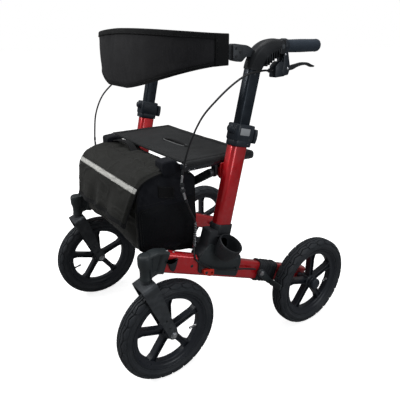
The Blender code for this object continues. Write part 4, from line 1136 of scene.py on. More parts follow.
def make_elbow(name, side):
    """The gooseneck from the height tube to the grip bar, with a finned gusset under it."""
    node = f"{name}_elbow"
    x = side * HANDLE_X
    grip = centre_of(f"{name}_grip")
    tube_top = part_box(f"{name}_inner_tube")[1].z - 0.009
    start = upright_at(side, tube_top - 0.010)
    x_start = side * FRAME_X
    keys = [start, upright_at(side, tube_top + 0.006), Vector((x, 0.0335, 0.8405)), Vector((x, 0.0500, 0.8525))]
    keys += [Vector((x, 0.0720, 0.8582)), Vector((x, 0.0920, grip.z)), Vector((x, 0.1035, grip.z))]
    path = curve_through(keys, 34)
    sections = []
    for i, point in enumerate(path):
        t = i / (len(path) - 1)
        point.x = x_start + (x - x_start) * ramp(t, 0.0, 0.45)
        wide = 0.0300 + 0.0050 * ramp(t, 0.05, 0.4) - 0.0010 * ramp(t, 0.6, 1)
        tall = 0.0440 + 0.0010 * ramp(t, 0, 0.2) - 0.0110 * ramp(t, 0.3, 0.85)
        corner = 0.0085 + 0.0080 * ramp(t, 0.2, 0.8)
        sections.append(rounded(wide, tall, corner))
    shape = Shape()
    shape.sweep(path, sections)
    web = [(0.0470, 0.8120), (0.0715, 0.8235), (0.1015, 0.8440), (0.0960, 0.8520), (0.0520, 0.8480), (0.0380, 0.8300)]
    shape.slab(side_plane(x), soften(web, 0.003), 0.0120, 0.0010)
    for step in range(6):
        y = 0.0445 + step * 0.0078
        foot = 0.8125 + max(0.0, y - 0.0480) * 0.60
        fin = [(y - 0.0009, foot), (y + 0.0013, foot + 0.0010), (y + 0.0013, 0.8560), (y - 0.0009, 0.8560)]
        shape.slab(side_plane(x), fin, 0.0345 - step * 0.0006, 0.0004)
    shape.slab(side_plane(x), soften([(0.0860, 0.8390), (0.1040, 0.8400), (0.1040, 0.8740), (0.0900, 0.8735)], 0.004), 0.0350, 0.002)
    add(f"{name}_gooseneck", shape, PLASTIC, f"{name}_handle", [node], 38)

    screws = Shape()
    for hand in (1, -1):
        screws.hex_bolt(Vector((x + hand * 0.0172, 0.0950, grip.z - 0.001)), X * hand, 0.0046, 0.0026)
    collar = upright_at(side, tube_top - 0.016)
    for hand in (1, -1):
        screws.rivet(collar + X * hand * 0.0128 - UPRIGHT_UP * 0.004, X * hand, 0.0032, 0.0014)
    add(f"{name}_elbow_bolts", screws, COAT, f"{name}_handle", (), 30)


def make_grip(name, side):
    """A soft grip with a collar, finger ribs and a domed end."""
    low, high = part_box(f"{name}_grip")
    centre = (low + high) / 2
    radius = (high.z - low.z) / 2
    start, end = low.y, high.y
    profile = [(0, start), (radius * 0.99, start), (radius * 1.03, start + 0.001), (radius * 1.03, start + 0.0045)]
    profile += [(radius * 0.96, start + 0.0060)]
    steps = 46
    for i in range(steps + 1):
        y = start + 0.008 + (end - 0.013 - start - 0.008) * i / steps
        t = i / steps
        shape_r = 0.955 + 0.035 * math.sin(math.pi * t) ** 2 + 0.02 * ramp(t, 0.75, 1)
        ridge = 0.014 * math.sin(t * math.pi * 26) * ramp(t, 0.05, 0.12) * (1 - ramp(t, 0.88, 0.94))
        profile.append((radius * (shape_r + ridge), y))
    profile += [(radius * 1.0, end - 0.010), (radius * 0.95, end - 0.0055), (radius * 0.80, end - 0.0022)]
    profile += [(radius * 0.5, end - 0.0004), (0, end)]
    shape = Shape()
    shape.turned(axes_at((centre.x, 0, centre.z), Z, X), profile, 56)
    add(f"{name}_ribbed_grip", shape, GRIP, f"{name}_handle", [f"{name}_grip"], 50)


def make_brake_housing(name, side):
    """The clamp on the grip bar with the body below it, and the cable's adjuster."""
    node = f"{name}_brake_housing"
    x = side * HANDLE_X
    grip = centre_of(f"{name}_grip")
    shape = Shape()
    ring = [(0.0105, -0.0065), (0.0178, -0.0065), (0.0184, -0.0050), (0.0184, 0.0050), (0.0178, 0.0065), (0.0105, 0.0065)]
    shape.turned(axes_at((x, 0.1108, grip.z), Z, X), ring, 40)
    for hand in (1, -1):
        cheek = [(0.1040, 0.8500), (0.1040, 0.8160), (0.1000, 0.7960), (0.1050, 0.7870), (0.1225, 0.7880)]
        cheek += [(0.1290, 0.8050), (0.1245, 0.8220), (0.1175, 0.8480)]
        shape.slab(side_plane(x + hand * 0.0108), soften(cheek, 0.003), 0.0044, 0.0012)
    block = [(0.0785, 0.7835), (0.1130, 0.7855), (0.1130, 0.8200), (0.0920, 0.8230), (0.0785, 0.8115)]
    shape.slab(side_plane(x), soften(block, 0.004), 0.0240, 0.0020)
    neck = [(0.0960, 0.8160), (0.1125, 0.8160), (0.1165, 0.8450), (0.1055, 0.8450), (0.1035, 0.8300)]
    shape.slab(side_plane(x), soften(neck, 0.003), 0.0170, 0.0015)
    add(f"{name}_brake_body", shape, COLLAR, f"{name}_handle", [node], 38)

    metal = Shape()
    hub = pivot(f"{name}_brake_squeeze")
    for hand in (1, -1):
        metal.rivet(hub + X * hand * 0.0128, X * hand, 0.0036, 0.0016)
    for hand in (1, -1):
        metal.rivet(Vector((x + hand * 0.0128, 0.1100, 0.8385)), X * hand, 0.0030, 0.0014)
    barrel = [(0, 0), (0.0030, 0), (0.0030, 0.0060), (0, 0.0060)]
    metal.turned(axes_at((x, 0.0790, 0.8010), Z, -X), barrel, 20)
    add(f"{name}_brake_screws", metal, STEEL, f"{name}_handle", (), 30)
    knob = Shape()
    outline = [(0, 0.0055), (0.0048, 0.0055), (0.0052, 0.0070), (0.0052, 0.0125), (0.0034, 0.0145), (0.0026, 0.0185), (0, 0.0185)]
    knob.turned(axes_at((x, 0.0790, 0.8010), Z, -X), outline, 14)
    add(f"{name}_cable_nut", knob, PLASTIC, f"{name}_handle", (), 30)


def make_brake_lever(name, side):
    hub = pivot(f"{name}_brake_squeeze")
    x = hub.x
    keys = [(0, 0), (0.022, 0.0008), (0.042, 0.0055), (0.062, 0.0088), (0.082, 0.0080), (0.098, 0.0030), (0.1085, 0.0005)]
    path = curve_through([hub + Vector((0, y, z)) for y, z in keys], 40)
    sections = []
    for i in range(len(path)):
        t = i / (len(path) - 1)
        wide = 0.0150 - 0.0010 * ramp(t, 0.1, 0.3) + 0.0022 * ramp(t, 0.6, 0.9) - 0.004 * ramp(t, 0.95, 1.0)
        tall = 0.0112 - 0.0040 * ramp(t, 0.15, 0.4) - 0.0028 * ramp(t, 0.6, 0.85)
        end = math.sqrt(max(1 - max(0, (t - 0.94) / 0.06) ** 2, 0.05))
        sections.append(rounded(wide * end, tall * end, 0.0026))
    shape = Shape()
    shape.sweep(path, sections)
    shape.turned(axes_at(hub, Y, Z), [(0.0036, -0.0076), (0.0068, -0.0076), (0.0068, 0.0076), (0.0036, 0.0076)], 30)
    for step in range(4):
        spot = path[28 + step * 2]
        shape.slab(axes_at(spot - Z * 0.0022, X, Y), rounded(0.0115, 0.0016, 0.0007), 0.0022, 0.0004)
    add(f"{name}_hand_lever", shape, PLASTIC, f"{name}_brake_lever", [f"{name}_brake_lever"], 40)


def make_strap_bracket(name, side):
    node = f"{name}_strap_bracket"
    low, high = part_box(node)
    x = side * FRAME_X
    shape = Shape()
    outline = [(low.y, 0.8290), (-0.0215, 0.8240), (-0.0080, 0.8360), (0.0200, 0.8330), (0.0260, 0.8420)]
    outline += [(0.0080, 0.8560), (-0.0060, 0.8620), (low.y, 0.8665)]
    shape.slab(side_plane(x), soften(outline, 0.005), 0.0190, 0.0018)
    plate = [(low.y - 0.001, 0.8330), (-0.0240, 0.8290), (-0.0190, 0.8350), (-0.0190, 0.8590), (low.y - 0.001, 0.8630)]
    for hand in (1, -1):
        shape.slab(side_plane(x + hand * 0.0096), soften(plate, 0.003), 0.0022, 0.0008)
    add(f"{name}_backrest_bracket", shape, COAT, f"{name}_handle", [node], 38)
    rivets = Shape()
    for y, z in ((-0.0420, 0.8560), (-0.0290, 0.8475), (-0.0410, 0.8380)):
        for hand in (1, -1):
            rivets.rivet(Vector((x + hand * 0.0106, y, z)), X * hand, 0.0036, 0.0016)
    add(f"{name}_backrest_rivets", rivets, PLASTIC, f"{name}_handle", (), 30)


# ---------------------------------------------------------------- brace and seat


def make_brace():
    """Two crossing bars with their centre rivet and end washers."""
    low_a, high_b = pivot("fold"), pivot("left_rail_lift")
    low_b, high_a = pivot("right_side_fold"), pivot("right_rail_lift")
    for letter, low, high in (("a", low_a, high_a), ("b", low_b, high_b)):
        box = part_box(f"brace_bar_{letter}")
        y = (box[0].y + box[1].y) / 2
        thick = box[1].y - box[0].y
        shape = Shape()
        outline = band((low.x, low.z), (high.x, high.z), 0.0110, 0.0110, 12)
        shape.slab(axes_at((0, y, 0), X, Z), outline, thick, 0.0016)
        middle = (low + high) / 2
        boss = [(0.0056, -thick / 2 + 0.0001), (0.0150, -thick / 2 + 0.0001), (0.0150, thick / 2 - 0.0001), (0.0056, thick / 2 - 0.0001)]
        shape.turned(axes_at((middle.x, y, middle.z), Z, X), boss, 32)
        replaced = [f"brace_bar_{letter}"]
        obj = add(f"crossing_bar_{letter}", shape, COAT, f"brace_{letter}", replaced, 40)
        drill(obj, [(Vector((p.x, y - 0.02, p.z)), Vector((p.x, y + 0.02, p.z)), 0.0056) for p in (low, high)])
    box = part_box("brace_pivot")
    rivet = Shape()
    place = centre_of("brace_pivot")
    profile = [(0, box[0].y), (0.0060, box[0].y + 0.0002), (0.0088, box[0].y + 0.0024), (0.0088, box[0].y + 0.0030)]
    profile += [(0.0049, box[0].y + 0.0031), (0.0049, box[1].y - 0.0031), (0.0088, box[1].y - 0.0030)]
    profile += [(0.0088, box[1].y - 0.0024), (0.0060, box[1].y - 0.0002), (0, box[1].y)]
    rivet.turned(axes_at((place.x, 0, place.z), Z, X), profile, 32)
    add("brace_rivet", rivet, STEEL, "brace_a", ["brace_pivot"], 30)


def make_seat_rail(name, side):
    """A glossy rail with a nose, an end plug and the lug of the brace."""
    node = f"{name}_seat_rail"
    low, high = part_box(node)
    hub = pivot("left_rail_lift") if side > 0 else pivot("right_rail_lift")
    x = (low.x + high.x) / 2
    top = high.z - 0.0012
    bottom = centre_of(f"{name}_rail_saddle").z * 0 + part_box(f"{name}_rail_saddle")[1].z + 0.0006
    height = top - bottom
    wide = high.x - low.x - 0.0018
    middle = Vector((x, (low.y + high.y) / 2, (top + bottom) / 2))
    shape = Shape()
    capped_bar(shape, middle, Y, high.y - low.y - 0.004, (wide, height), 0.0085, 0.0030)
    for place in (low.y + 0.008, high.y - 0.008, high.y - 0.016):
        ring = Vector((x, place, middle.z))
        capped_bar(shape, ring, Y, 0.0050, (wide + 0.0012, height + 0.0010), 0.0090, 0.0014)
    add(f"{name}_rail_tube", shape, GLOSS, f"{name}_rail", [node], 40)

    lug_y = hub.y + 0.0108 if side > 0 else hub.y - 0.0108
    lug = Shape()
    outline = [(x - side * 0.0098, bottom + 0.004), (x + side * 0.0098, bottom + 0.004), (x + side * 0.0098, hub.z - 0.004)]
    outline += [(x + side * 0.0040, hub.z - 0.0118), (x - side * 0.0098, hub.z - 0.0118)]
    lug.slab(axes_at((0, lug_y, 0), X, Z), soften(outline, 0.004), 0.0078, 0.0012)
    pin = [(0, -0.0110), (0.0049, -0.0110), (0.0049, 0.0110), (0, 0.0110)]
    lug.turned(axes_at((hub.x, lug_y, hub.z), Z, X), pin, 24)
    add(f"{name}_rail_lug", lug, PLASTIC, f"{name}_rail", (), 35)

    screws = Shape()
    for y in (low.y + 0.018, low.y + 0.034):
        screws.rivet(Vector((x + side * (wide / 2), y, bottom + 0.0045)), (X * side - Z * 0.4), 0.0030, 0.0020)
    add(f"{name}_rail_screws", screws, STEEL, f"{name}_rail", (), 30)


def make_rail_sleeve(name, side):
    """The seat cloth's pocket round the rail, open below."""
    low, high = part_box(f"{name}_seat_rail")
    sling_low, sling_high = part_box(f"{name}_sling")
    x = (low.x + high.x) / 2
    half = (high.x - low.x) / 2
    top = high.z
    outer = [(-side * (half - 0.001), top - 0.0090), (-side * (half + 0.0002), top - 0.0040)]
    outer += [(-side * (half - 0.0030), top + 0.0004), (0, top + 0.0009), (side * (half - 0.0050), top + 0.0004)]
    outer += [(side * (half - 0.0008), top - 0.0035), (side * (half + 0.0004), top - 0.0095)]
    outline = [(x + a, b) for a, b in outer]
    inner = [(x + a * 0.86, b - 0.0016 * (1 if b > top - 0.003 else 0)) for a, b in reversed(outer)]
    ring = outline + inner
    rings = []
    steps = 60
    for step in range(steps + 1):
        y = sling_low.y + 0.002 + (sling_high.y - sling_low.y - 0.004) * step / steps
        ripple = 0.00035 * noise.noise(Vector((3.1 * side, y * 55, 0)))
        rings.append([Vector((px, y, pz + ripple)) for px, pz in ring])
    shape = Shape()
    shape.skin(rings)
    add(f"{name}_rail_pocket", shape, SEAT, f"{name}_rail", (), 60)
    thread = Shape()
    for a, b, normal in ((side * (half + 0.0004), top - 0.0075, X * side), (-side * (half - 0.0045), top + 0.0010, Z)):
        path = [Vector((x + a, sling_low.y + 0.006, b)), Vector((x + a, sling_high.y - 0.006, b))]
        thread.stitches(path, normal)
    add(f"{name}_pocket_stitches", thread, THREAD, f"{name}_rail", (), 30)


SLOT_HALF_LENGTH = 0.0575
SLOT_HALF_WIDTH = 0.0085
SLOT_PLACE = -0.058


def seat_height(x, y, half, low_y, high_y, top):
    """The cloth sags a little between the rails, and its front and rear hems hang free."""
    across = 1 - (x / half) ** 2
    along = (y - low_y) / (high_y - low_y)
    sag = 0.0042 * across * (0.55 + 0.45 * math.sin(math.pi * along))
    wave = 0.0007 * noise.noise(Vector((x * 22, y * 9, 1.7))) * across
    return top - sag + wave


def make_seat():
    """The sling: one cloth with folded hems and a grab slot."""
    left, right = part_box("left_sling"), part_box("right_sling")
    half = left[1].x
    low_y, high_y, top = left[0].y, left[1].y, left[1].z
    xs = [-half + 2 * half * i / 96 for i in range(97)]
    xs = sorted(set(round(x, 6) for x in xs if abs(abs(x) - SLOT_HALF_LENGTH) > 0.002) | {SLOT_HALF_LENGTH, -SLOT_HALF_LENGTH})
    ys = [low_y + (high_y - low_y) * i / 60 for i in range(61)]
    edges = (SLOT_PLACE - SLOT_HALF_WIDTH, SLOT_PLACE + SLOT_HALF_WIDTH)
    ys = sorted(set(round(y, 6) for y in ys if not edges[0] - 0.001 < y < edges[1] + 0.001) | set(edges))
    mesh = bpy.data.meshes.new("seat")
    work = bmesh.new()
    grid = {}
    for i, x in enumerate(xs):
        for j, y in enumerate(ys):
            grid[i, j] = work.verts.new((x, y, seat_height(x, y, half, low_y, high_y, top) - 0.0008))
    for i in range(len(xs) - 1):
        for j in range(len(ys) - 1):
            middle_x, middle_y = (xs[i] + xs[i + 1]) / 2, (ys[j] + ys[j + 1]) / 2
            if abs(middle_x) < SLOT_HALF_LENGTH and edges[0] < middle_y < edges[1]:
                continue
            work.faces.new((grid[i, j], grid[i + 1, j], grid[i + 1, j + 1], grid[i, j + 1]))
    loose = [v for v in work.verts if not v.link_faces]
    bmesh.ops.delete(work, geom=loose, context="VERTS")
    work.to_mesh(mesh)
    work.free()
    obj = add_mesh("seat_cloth", mesh, SEAT, None, ["left_sling", "right_sling"], 60)
    shell = obj.modifiers.new("Cloth", "SOLIDIFY")
    shell.thickness = 0.0020
    shell.offset = -1
    bake(obj)
    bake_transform(obj)

    def surface(x, y, lift=0.0004):
        return Vector((x, y, seat_height(x, y, half, low_y, high_y, top) - 0.0008 + lift))

    hems = Shape()
    for start, end in ((low_y, low_y + 0.019), (high_y - 0.016, high_y)):
        rings = []
        for i in range(73):
            x = -half + 0.001 + 2 * (half - 0.001) * i / 72
            ring = []
            for j in range(7):
                y = start + (end - start) * j / 6
                ring.append(surface(x, y, 0.0004 + 0.0011 * math.sin(math.pi * min(max(j / 6, 0.04), 0.96)) ** 0.5))
            for j in range(6, -1, -1):
                y = start + (end - start) * j / 6
                ring.append(surface(x, y, -0.0034))
            rings.append(ring)
        hems.skin(rings)
    hem = add("seat_hems", hems, SEAT, None, (), 60)
    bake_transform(hem)

    piping = Shape()
    trim = arc((0, 0), 1, 0, 345, 23)
    loop = []
    for px, py in trim:
        lx = max(-1, min(1, px * 1.35))
        loop.append(surface(lx * (SLOT_HALF_LENGTH + 0.001), SLOT_PLACE + py * (SLOT_HALF_WIDTH + 0.0012), 0.0004))
    rings = []
    for i, point in enumerate(loop):
        tangent = (loop[(i + 1) % len(loop)] - loop[i - 1]).normalized()
        out = tangent.cross(Z).normalized()
        rings.append([point + out * a + Z * b for a, b in circle(0.0016, 8)])
    piping.skin(rings, cyclic=True)
    edge = add("slot_piping", piping, PIPING, None, (), 60)
    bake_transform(edge)

    thread = Shape()
    for y, lift in ((low_y + 0.0165, 0.0012), (low_y + 0.0035, 0.0014), (high_y - 0.0135, 0.0012), (high_y - 0.0035, 0.0014)):
        path = [surface(-half + 0.004 + 2 * (half - 0.004) * i / 40, y, lift) for i in range(41)]
        thread.stitches(path, Z)
    for hand in (1, -1):
        path = [surface(hand * (half - 0.0045), low_y + 0.004 + (high_y - low_y - 0.008) * i / 20, 0.0008) for i in range(21)]
        thread.stitches(path, Z)
    seam = add("seat_stitches", thread, THREAD, None, (), 30)
    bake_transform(seam)

    # Painted shade: a dark strip under the grab slot stands in for the shade beneath the seat.
    shade_sheet = Shape()
    rings = []
    for i in range(31):
        x = -0.068 + 0.136 * i / 30
        rings.append([Vector((x, SLOT_PLACE + a, top - 0.0056 + b)) for a, b in rounded(0.034, 0.0012, 0.0005, 3)])
    shade_sheet.skin(rings)
    inside = add("slot_shade_sheet", shade_sheet, HEM, None, (), 50)
    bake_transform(inside)

    keys = [(-0.068, -0.0030), (-0.054, -0.0020), (-0.040, 0.0003), (-0.020, 0.0016), (0, 0.0020)]
    keys += [(0.020, 0.0016), (0.040, 0.0003), (0.054, -0.0020), (0.068, -0.0030)]
    path = curve_through([(x, SLOT_PLACE, top + z - 0.0012) for x, z in keys], 70)
    loop = Shape()
    loop.sweep(path, [rounded(0.0102, 0.0018, 0.0008, 3)] * len(path), side=Y)
    strap = add("seat_pull_strap", loop, HEM, None, (), 50)
    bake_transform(strap)


# ---------------------------------------------------------------- soft goods

SWELL_FRAMES = 20


def swell(obj, voxel, pressure, limit, pinned, slack=0.0):
    """Blows the closed shape up as cloth, holding the pinned places, and moves no point past limit."""
    remesh = obj.modifiers.new("Even mesh", "REMESH")
    remesh.mode = "VOXEL"
    remesh.voxel_size = voxel
    remesh.use_smooth_shade = True
    bake(obj)
    held = obj.vertex_groups.new(name="held")
    for vertex in obj.data.vertices:
        weight = pinned(vertex.co)
        if weight > 0:
            held.add([vertex.index], weight, "REPLACE")
    rest = [v.co.copy() for v in obj.data.vertices]
    cloth = obj.modifiers.new("Cloth", "CLOTH")
    settings = cloth.settings
    settings.quality = 5
    settings.mass = 0.25
    settings.tension_stiffness = 18
    settings.compression_stiffness = 18
    settings.bending_stiffness = 0.4
    settings.shrink_min = -slack
    settings.use_pressure = True
    settings.uniform_pressure_force = pressure
    settings.vertex_group_mass = "held"
    settings.effector_weights.gravity = 0
    scene = bpy.context.scene
    for number in range(1, SWELL_FRAMES + 1):
        scene.frame_set(number)
    bake(obj)
    for vertex, place in zip(obj.data.vertices, rest):
        move = vertex.co - place
        if move.length > limit:
            vertex.co = place + move.normalized() * limit
    scene.frame_set(1)


def smooth_over(obj, levels=1, passes=0):
    """Evens the surface out in a few passes, then divides it finer."""
    if passes:
        even = obj.modifiers.new("Even out", "SMOOTH")
        even.factor = 0.5
        even.iterations = passes
    finer = obj.modifiers.new("Finer", "SUBSURF")
    finer.levels = levels
    finer.render_levels = levels
    bake(obj)
    obj.data.shade_smooth()


STRAP_SQUARENESS = 3.0


def strap_point(turn):
    """The strap's plan curve: -1 at the right handle, 0 at the middle of the back, 1 at the left."""
    low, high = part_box("left_strap")
    half = high.x - 0.0055
    start, depth = high.y, high.y - low.y - 0.0060
    angle = (1 - abs(turn)) * math.pi / 2
    power = 2 / STRAP_SQUARENESS
    x = half * math.cos(angle) ** power if abs(turn) > 1e-9 else 0.0
    y = start - depth * math.sin(angle) ** power
    return Vector((math.copysign(x, turn) if x else 0.0, y, 0))


def strap_rise(turn):
    """Lower and upper edge of the strap at this place along it."""
    low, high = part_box("left_strap")
    inward = 1 - abs(turn)
    sag = min(inward / (0.97 if turn > 0 else 0.86), 1) ** 1.45
    return low.z + 0.059 * (1 - sag), high.z - 0.017 * (1 - inward)


def strap_stations(count):
    """Places along the strap, evenly spaced along its length, each with its outward normal."""
    fine = [-1 + 2 * i / 800 for i in range(801)]
    points = [strap_point(t) for t in fine]
    lengths = [0.0]
    for a, b in zip(points, points[1:]):
        lengths.append(lengths[-1] + (b - a).length)
    stations = []
    i = 0
    for step in range(count + 1):
        goal = lengths[-1] * step / count
        while i < len(fine) - 2 and lengths[i + 1] < goal:
            i += 1
        turn = fine[i] + (fine[i + 1] - fine[i]) * (goal - lengths[i]) / max(lengths[i + 1] - lengths[i], 1e-9)
        here = strap_point(turn)
        ahead, behind = strap_point(min(turn + 0.01, 1)), strap_point(max(turn - 0.01, -1))
        way = (ahead - behind).normalized()
        stations.append((turn, here, way, Z.cross(way) * -1))
    return stations


def make_strap():
    """The padded backrest: a sewn pillow with a folded hem along its edges and a cuff at each end."""
    stations = strap_stations(150)
    thick = 0.0042
    rings = []
    for turn, here, way, out in stations:
        low, high = strap_rise(turn)
        low, high = low + 0.003, high - 0.003
        ring = []
        for i in range(9):
            z = low + (high - low) * i / 8
            ring.append(here + Z * z + out * thick * (0.55 + 0.45 * math.sin(math.pi * i / 8) ** 0.5))
        for i in range(8, -1, -1):
            z = low + (high - low) * i / 8
            ring.append(here + Z * z - out * thick * (0.55 + 0.45 * math.sin(math.pi * i / 8) ** 0.5))
        rings.append(ring)
    shape = Shape()
    shape.skin(rings)
    obj = add("backrest_pad", shape, STRAP, None, ["left_strap", "right_strap"], 60)
    tree = KDTree(len(stations))
    for index, station in enumerate(stations):
        tree.insert(station[1], index)
    tree.balance()

    def held(point):
        turn = stations[tree.find(Vector((point.x, point.y, 0)))[1]][0]
        low, high = strap_rise(turn)
        return 1.0 if point.z < low + 0.012 or point.z > high - 0.014 or abs(turn) > 0.94 else 0.0

    swell(obj, 0.0045, 3.2, 0.0050, held, 0.005)
    smooth_over(obj, passes=6)
    blend_strap(obj)

    hems = Shape()
    for upper in (True, False):
        width = 0.0125 if upper else 0.0105
        depth = 0.0059 if upper else 0.0046
        rings = []
        for turn, here, way, out in stations:
            low, high = strap_rise(turn)
            edge, inner = (high, high - width) if upper else (low, low + width)
            ripple = 0.0003 * noise.noise(Vector((turn * 30, 5.0 if upper else 9.0, 0)))
            ring = []
            for i in range(6):
                t = i / 5
                ring.append(here + Z * (inner + (edge - inner) * t) + out * (depth - 0.0020 * t**2 + ripple))
            for i in range(5, -1, -1):
                t = i / 5
                ring.append(here + Z * (inner + (edge - inner) * t) - out * (depth - 0.0020 * t**2 + ripple))
            rings.append(ring)
        hems.skin(rings)
    for ends in (stations[:9], stations[-9:]):
        rings = []
        for turn, here, way, out in ends:
            low, high = strap_rise(turn)
            outline = rounded(0.0148, high - low + 0.0004, 0.003, 3)
            rings.append([here + out * a + Z * (b + (low + high) / 2) for a, b in outline])
        hems.skin(rings)
    hem = add("backrest_hems", hems, HEM, None, (), 50)
    blend_strap(hem)

    thread = Shape()
    for upper, drop, depth in ((True, 0.0108, 0.0060), (True, 0.0025, 0.0044), (False, 0.0070, 0.0047)):
        for face in (1, -1):
            path = []
            for turn, here, way, out in stations[3:-3]:
                low, high = strap_rise(turn)
                z = high - drop if upper else low + drop
                path.append(here + Z * z + out * face * depth)
            thread.stitches(path, lambda p: Vector((p.x * 0.5, -0.1, 0)))
    for index in (7, -8):
        turn, here, way, out = stations[index]
        low, high = strap_rise(turn)
        for face in (1, -1):
            offset = here + out * face * 0.0076
            thread.stitches([offset + Z * (low + 0.006), offset + Z * (high - 0.006)], out * face)
    seam = add("backrest_stitches", thread, THREAD, None, (), 30)
    blend_strap(seam)


def blend_strap(obj):
    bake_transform(obj)


# The bag's side outline as (y, z), from the lower rear corner up over the top and down the front.
BAG_OUTLINE = [(-0.1085, 0.3215), (-0.1075, 0.4400), (-0.1080, 0.5440), (-0.1450, 0.5530), (-0.1640, 0.5640)]
BAG_OUTLINE += [(-0.1790, 0.5750), (-0.1950, 0.5785), (-0.2140, 0.5745), (-0.2300, 0.5640), (-0.2600, 0.5520)]
BAG_OUTLINE += [(-0.2780, 0.5350), (-0.2860, 0.5120), (-0.2880, 0.4700), (-0.2880, 0.4200), (-0.2875, 0.3800)]
BAG_OUTLINE += [(-0.2830, 0.3590), (-0.2400, 0.3460), (-0.1700, 0.3320)]
POCKET = [(-0.2800, 0.3680), (-0.1135, 0.3300), (-0.1130, 0.4840), (-0.2820, 0.4790)]
SQUARE_PATCH = [(-0.2290, 0.5350), (-0.1830, 0.5240), (-0.1820, 0.4920), (-0.2290, 0.5035)]


def fold_bag(obj):
    """Gives the piece a mesh of its own."""
    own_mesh(obj)
    return obj


def crumple(obj, sag, crease):
    """Pushes the surface in and out a little, in slow swells and in finer slanting creases."""
    normals = [v.normal.copy() for v in obj.data.vertices]
    for vertex, normal in zip(obj.data.vertices, normals):
        spot = vertex.co
        slow = noise.noise(Vector((spot.x * 9, spot.y * 14, spot.z * 12)))
        fine = noise.noise(Vector((spot.x * 30 + spot.z * 16, spot.y * 30 + spot.z * 22, 4.0)))
        vertex.co = spot + normal * (sag * slow + crease * (1 - abs(fine) * 4 if abs(fine) < 0.25 else 0))


def near_outline(point, outline, reach):
    spot = Vector((point.y, point.z))
    return any((spot - Vector(p)).length < reach for p in outline)


def draped(tree, hand, y, z, lift):
    """The place on the bag's side at this y and z, lifted off the cloth."""
    hit = tree.ray_cast(Vector((hand * 0.30, y, z)), -X * hand)[0]
    x = hit.x if hit else hand * 0.184
    return Vector((x + hand * lift, y, z))


def dome(shape, tree, hand, outline, lifts):
    """A sewn-on panel: rings of its outline shrunk towards the middle, each lifted off the bag's side."""
    middle = Vector((sum(p[0] for p in outline), sum(p[1] for p in outline))) / len(outline)
    rings = []
    for share, lift in lifts:
        ring = [middle + (Vector(p) - middle) * share for p in outline]
        rings.append([draped(tree, hand, p.x, p.y, lift) for p in ring])
    shape.skin(rings)


def bag_rings(outline, half):
    stops = [(-1, 0.0046), (-0.994, 0.0022), (-0.982, 0.0006)] + [(-0.96 + 1.92 * i / 24, 0) for i in range(25)]
    stops += [(0.982, 0.0006), (0.994, 0.0022), (1, 0.0046)]
    rings = []
    for share, shrink in stops:
        full = 1 - share**6
        ring = []
        for y, z in inset(outline, shrink) if shrink else outline:
            sag = 0.0060 * full * ramp(z, 0.390, 0.360)
            ring.append(Vector((share * half, y, z - sag)))
        rings.append(ring)
    return rings


def make_bag():
    """A pressurised lofted shell with piped side seams, pockets, corner tabs and a carrying handle."""
    low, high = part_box("bag")
    half = (high.x - low.x) / 2 - 0.0110
    outline = soften(BAG_OUTLINE, 0.012, 4)
    shape = Shape()
    shape.skin(bag_rings(outline, half))
    obj = add("bag_body", shape, BAG, None, ["bag"], 60)

    def held(point):
        if point.y > -0.122:
            return 1.0
        return 0.9 if abs(abs(point.x) - half) < 0.010 and near_outline(point, outline, 0.011) else 0.0

    swell(obj, 0.006, 2.6, 0.0080, held, 0.03)
    smooth_over(obj)
    crumple(obj, 0.0022, 0.0011)
    obj.data.materials.append(BAG_SIDE)
    for face in obj.data.polygons:
        side_panel = abs(face.center.x) > half - 0.006 and abs(face.normal.x) > 0.45
        face.material_index = 1 if side_panel or face.center.y > -0.165 else 0
    work = bmesh.new()
    work.from_mesh(obj.data)
    tree = BVHTree.FromBMesh(work)
    work.free()
    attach(obj, "left_frame")
    fold_bag(obj)
    make_bag_trim(tree, outline, half)
    make_bag_pockets(tree)
    make_bag_tabs()


def make_bag_trim(tree, outline, half):
    """Piping sewn into the seams round the two side panels."""
    trim = Shape()
    for hand in (1, -1):
        path = []
        for y, z in outline:
            spot, normal, _, _ = tree.find_nearest(Vector((hand * half, y, z)))
            path.append(spot + normal * 0.0006)
        rings = []
        for i, point in enumerate(path):
            way = (path[(i + 1) % len(path)] - path[i - 1]).normalized()
            across = way.cross(X).normalized()
            rings.append([point + way.cross(across) * a + across * b for a, b in circle(0.0017, 8)])
        trim.skin(rings, cyclic=True)
    fold_bag(add("bag_piping", trim, HEM, "left_frame", (), 50))


def make_bag_pockets(tree):
    """A net pocket and a square patch on each side, with bindings and stitches."""
    pocket = soften(POCKET, 0.013, 5)
    square = soften(SQUARE_PATCH, 0.002, 3)
    pouches, patches, bindings, thread = Shape(), Shape(), Shape(), Shape()
    full = [(1, -0.003), (1, 0.0012), (0.985, 0.0024), (0.95, 0.0036), (0.88, 0.0050), (0.75, 0.0064), (0.55, 0.0074)]
    flat = [(1, -0.003), (1, 0.0010), (0.97, 0.0018), (0.80, 0.0018), (0.50, 0.0018), (0.20, 0.0018)]
    for hand in (1, -1):
        dome(pouches, tree, hand, pocket, full + [(0.30, 0.0078), (0.08, 0.0080)])
        dome(patches, tree, hand, square, flat)
        edge = [draped(tree, hand, y, z, 0.0014) for y, z in pocket]
        bindings.wire(edge + edge[:1], 0.0016, 8)
        inner = [draped(tree, hand, y, z, 0.0036) for y, z in inset(pocket, 0.0048)]
        thread.stitches(inner + inner[:1], X * hand, 0.005, 0.0004)
        inner = [draped(tree, hand, y, z, 0.0021) for y, z in inset(square, 0.0025)]
        thread.stitches(inner + inner[:1], X * hand, 0.004, 0.0004)
        seam = [draped(tree, hand, -0.120 - 0.164 * i / 20, 0.4925 - 0.001 * i / 20, 0.0004) for i in range(21)]
        thread.stitches(seam, X * hand, 0.005, 0.0004)
    fold_bag(add("bag_side_pockets", pouches, NET, "left_frame", (), 60))
    fold_bag(add("bag_side_patches", patches, HEM, "left_frame", (), 60))
    fold_bag(add("bag_pocket_bindings", bindings, HEM, "left_frame", (), 60))
    fold_bag(add("bag_stitches", thread, THREAD, "left_frame", (), 30))


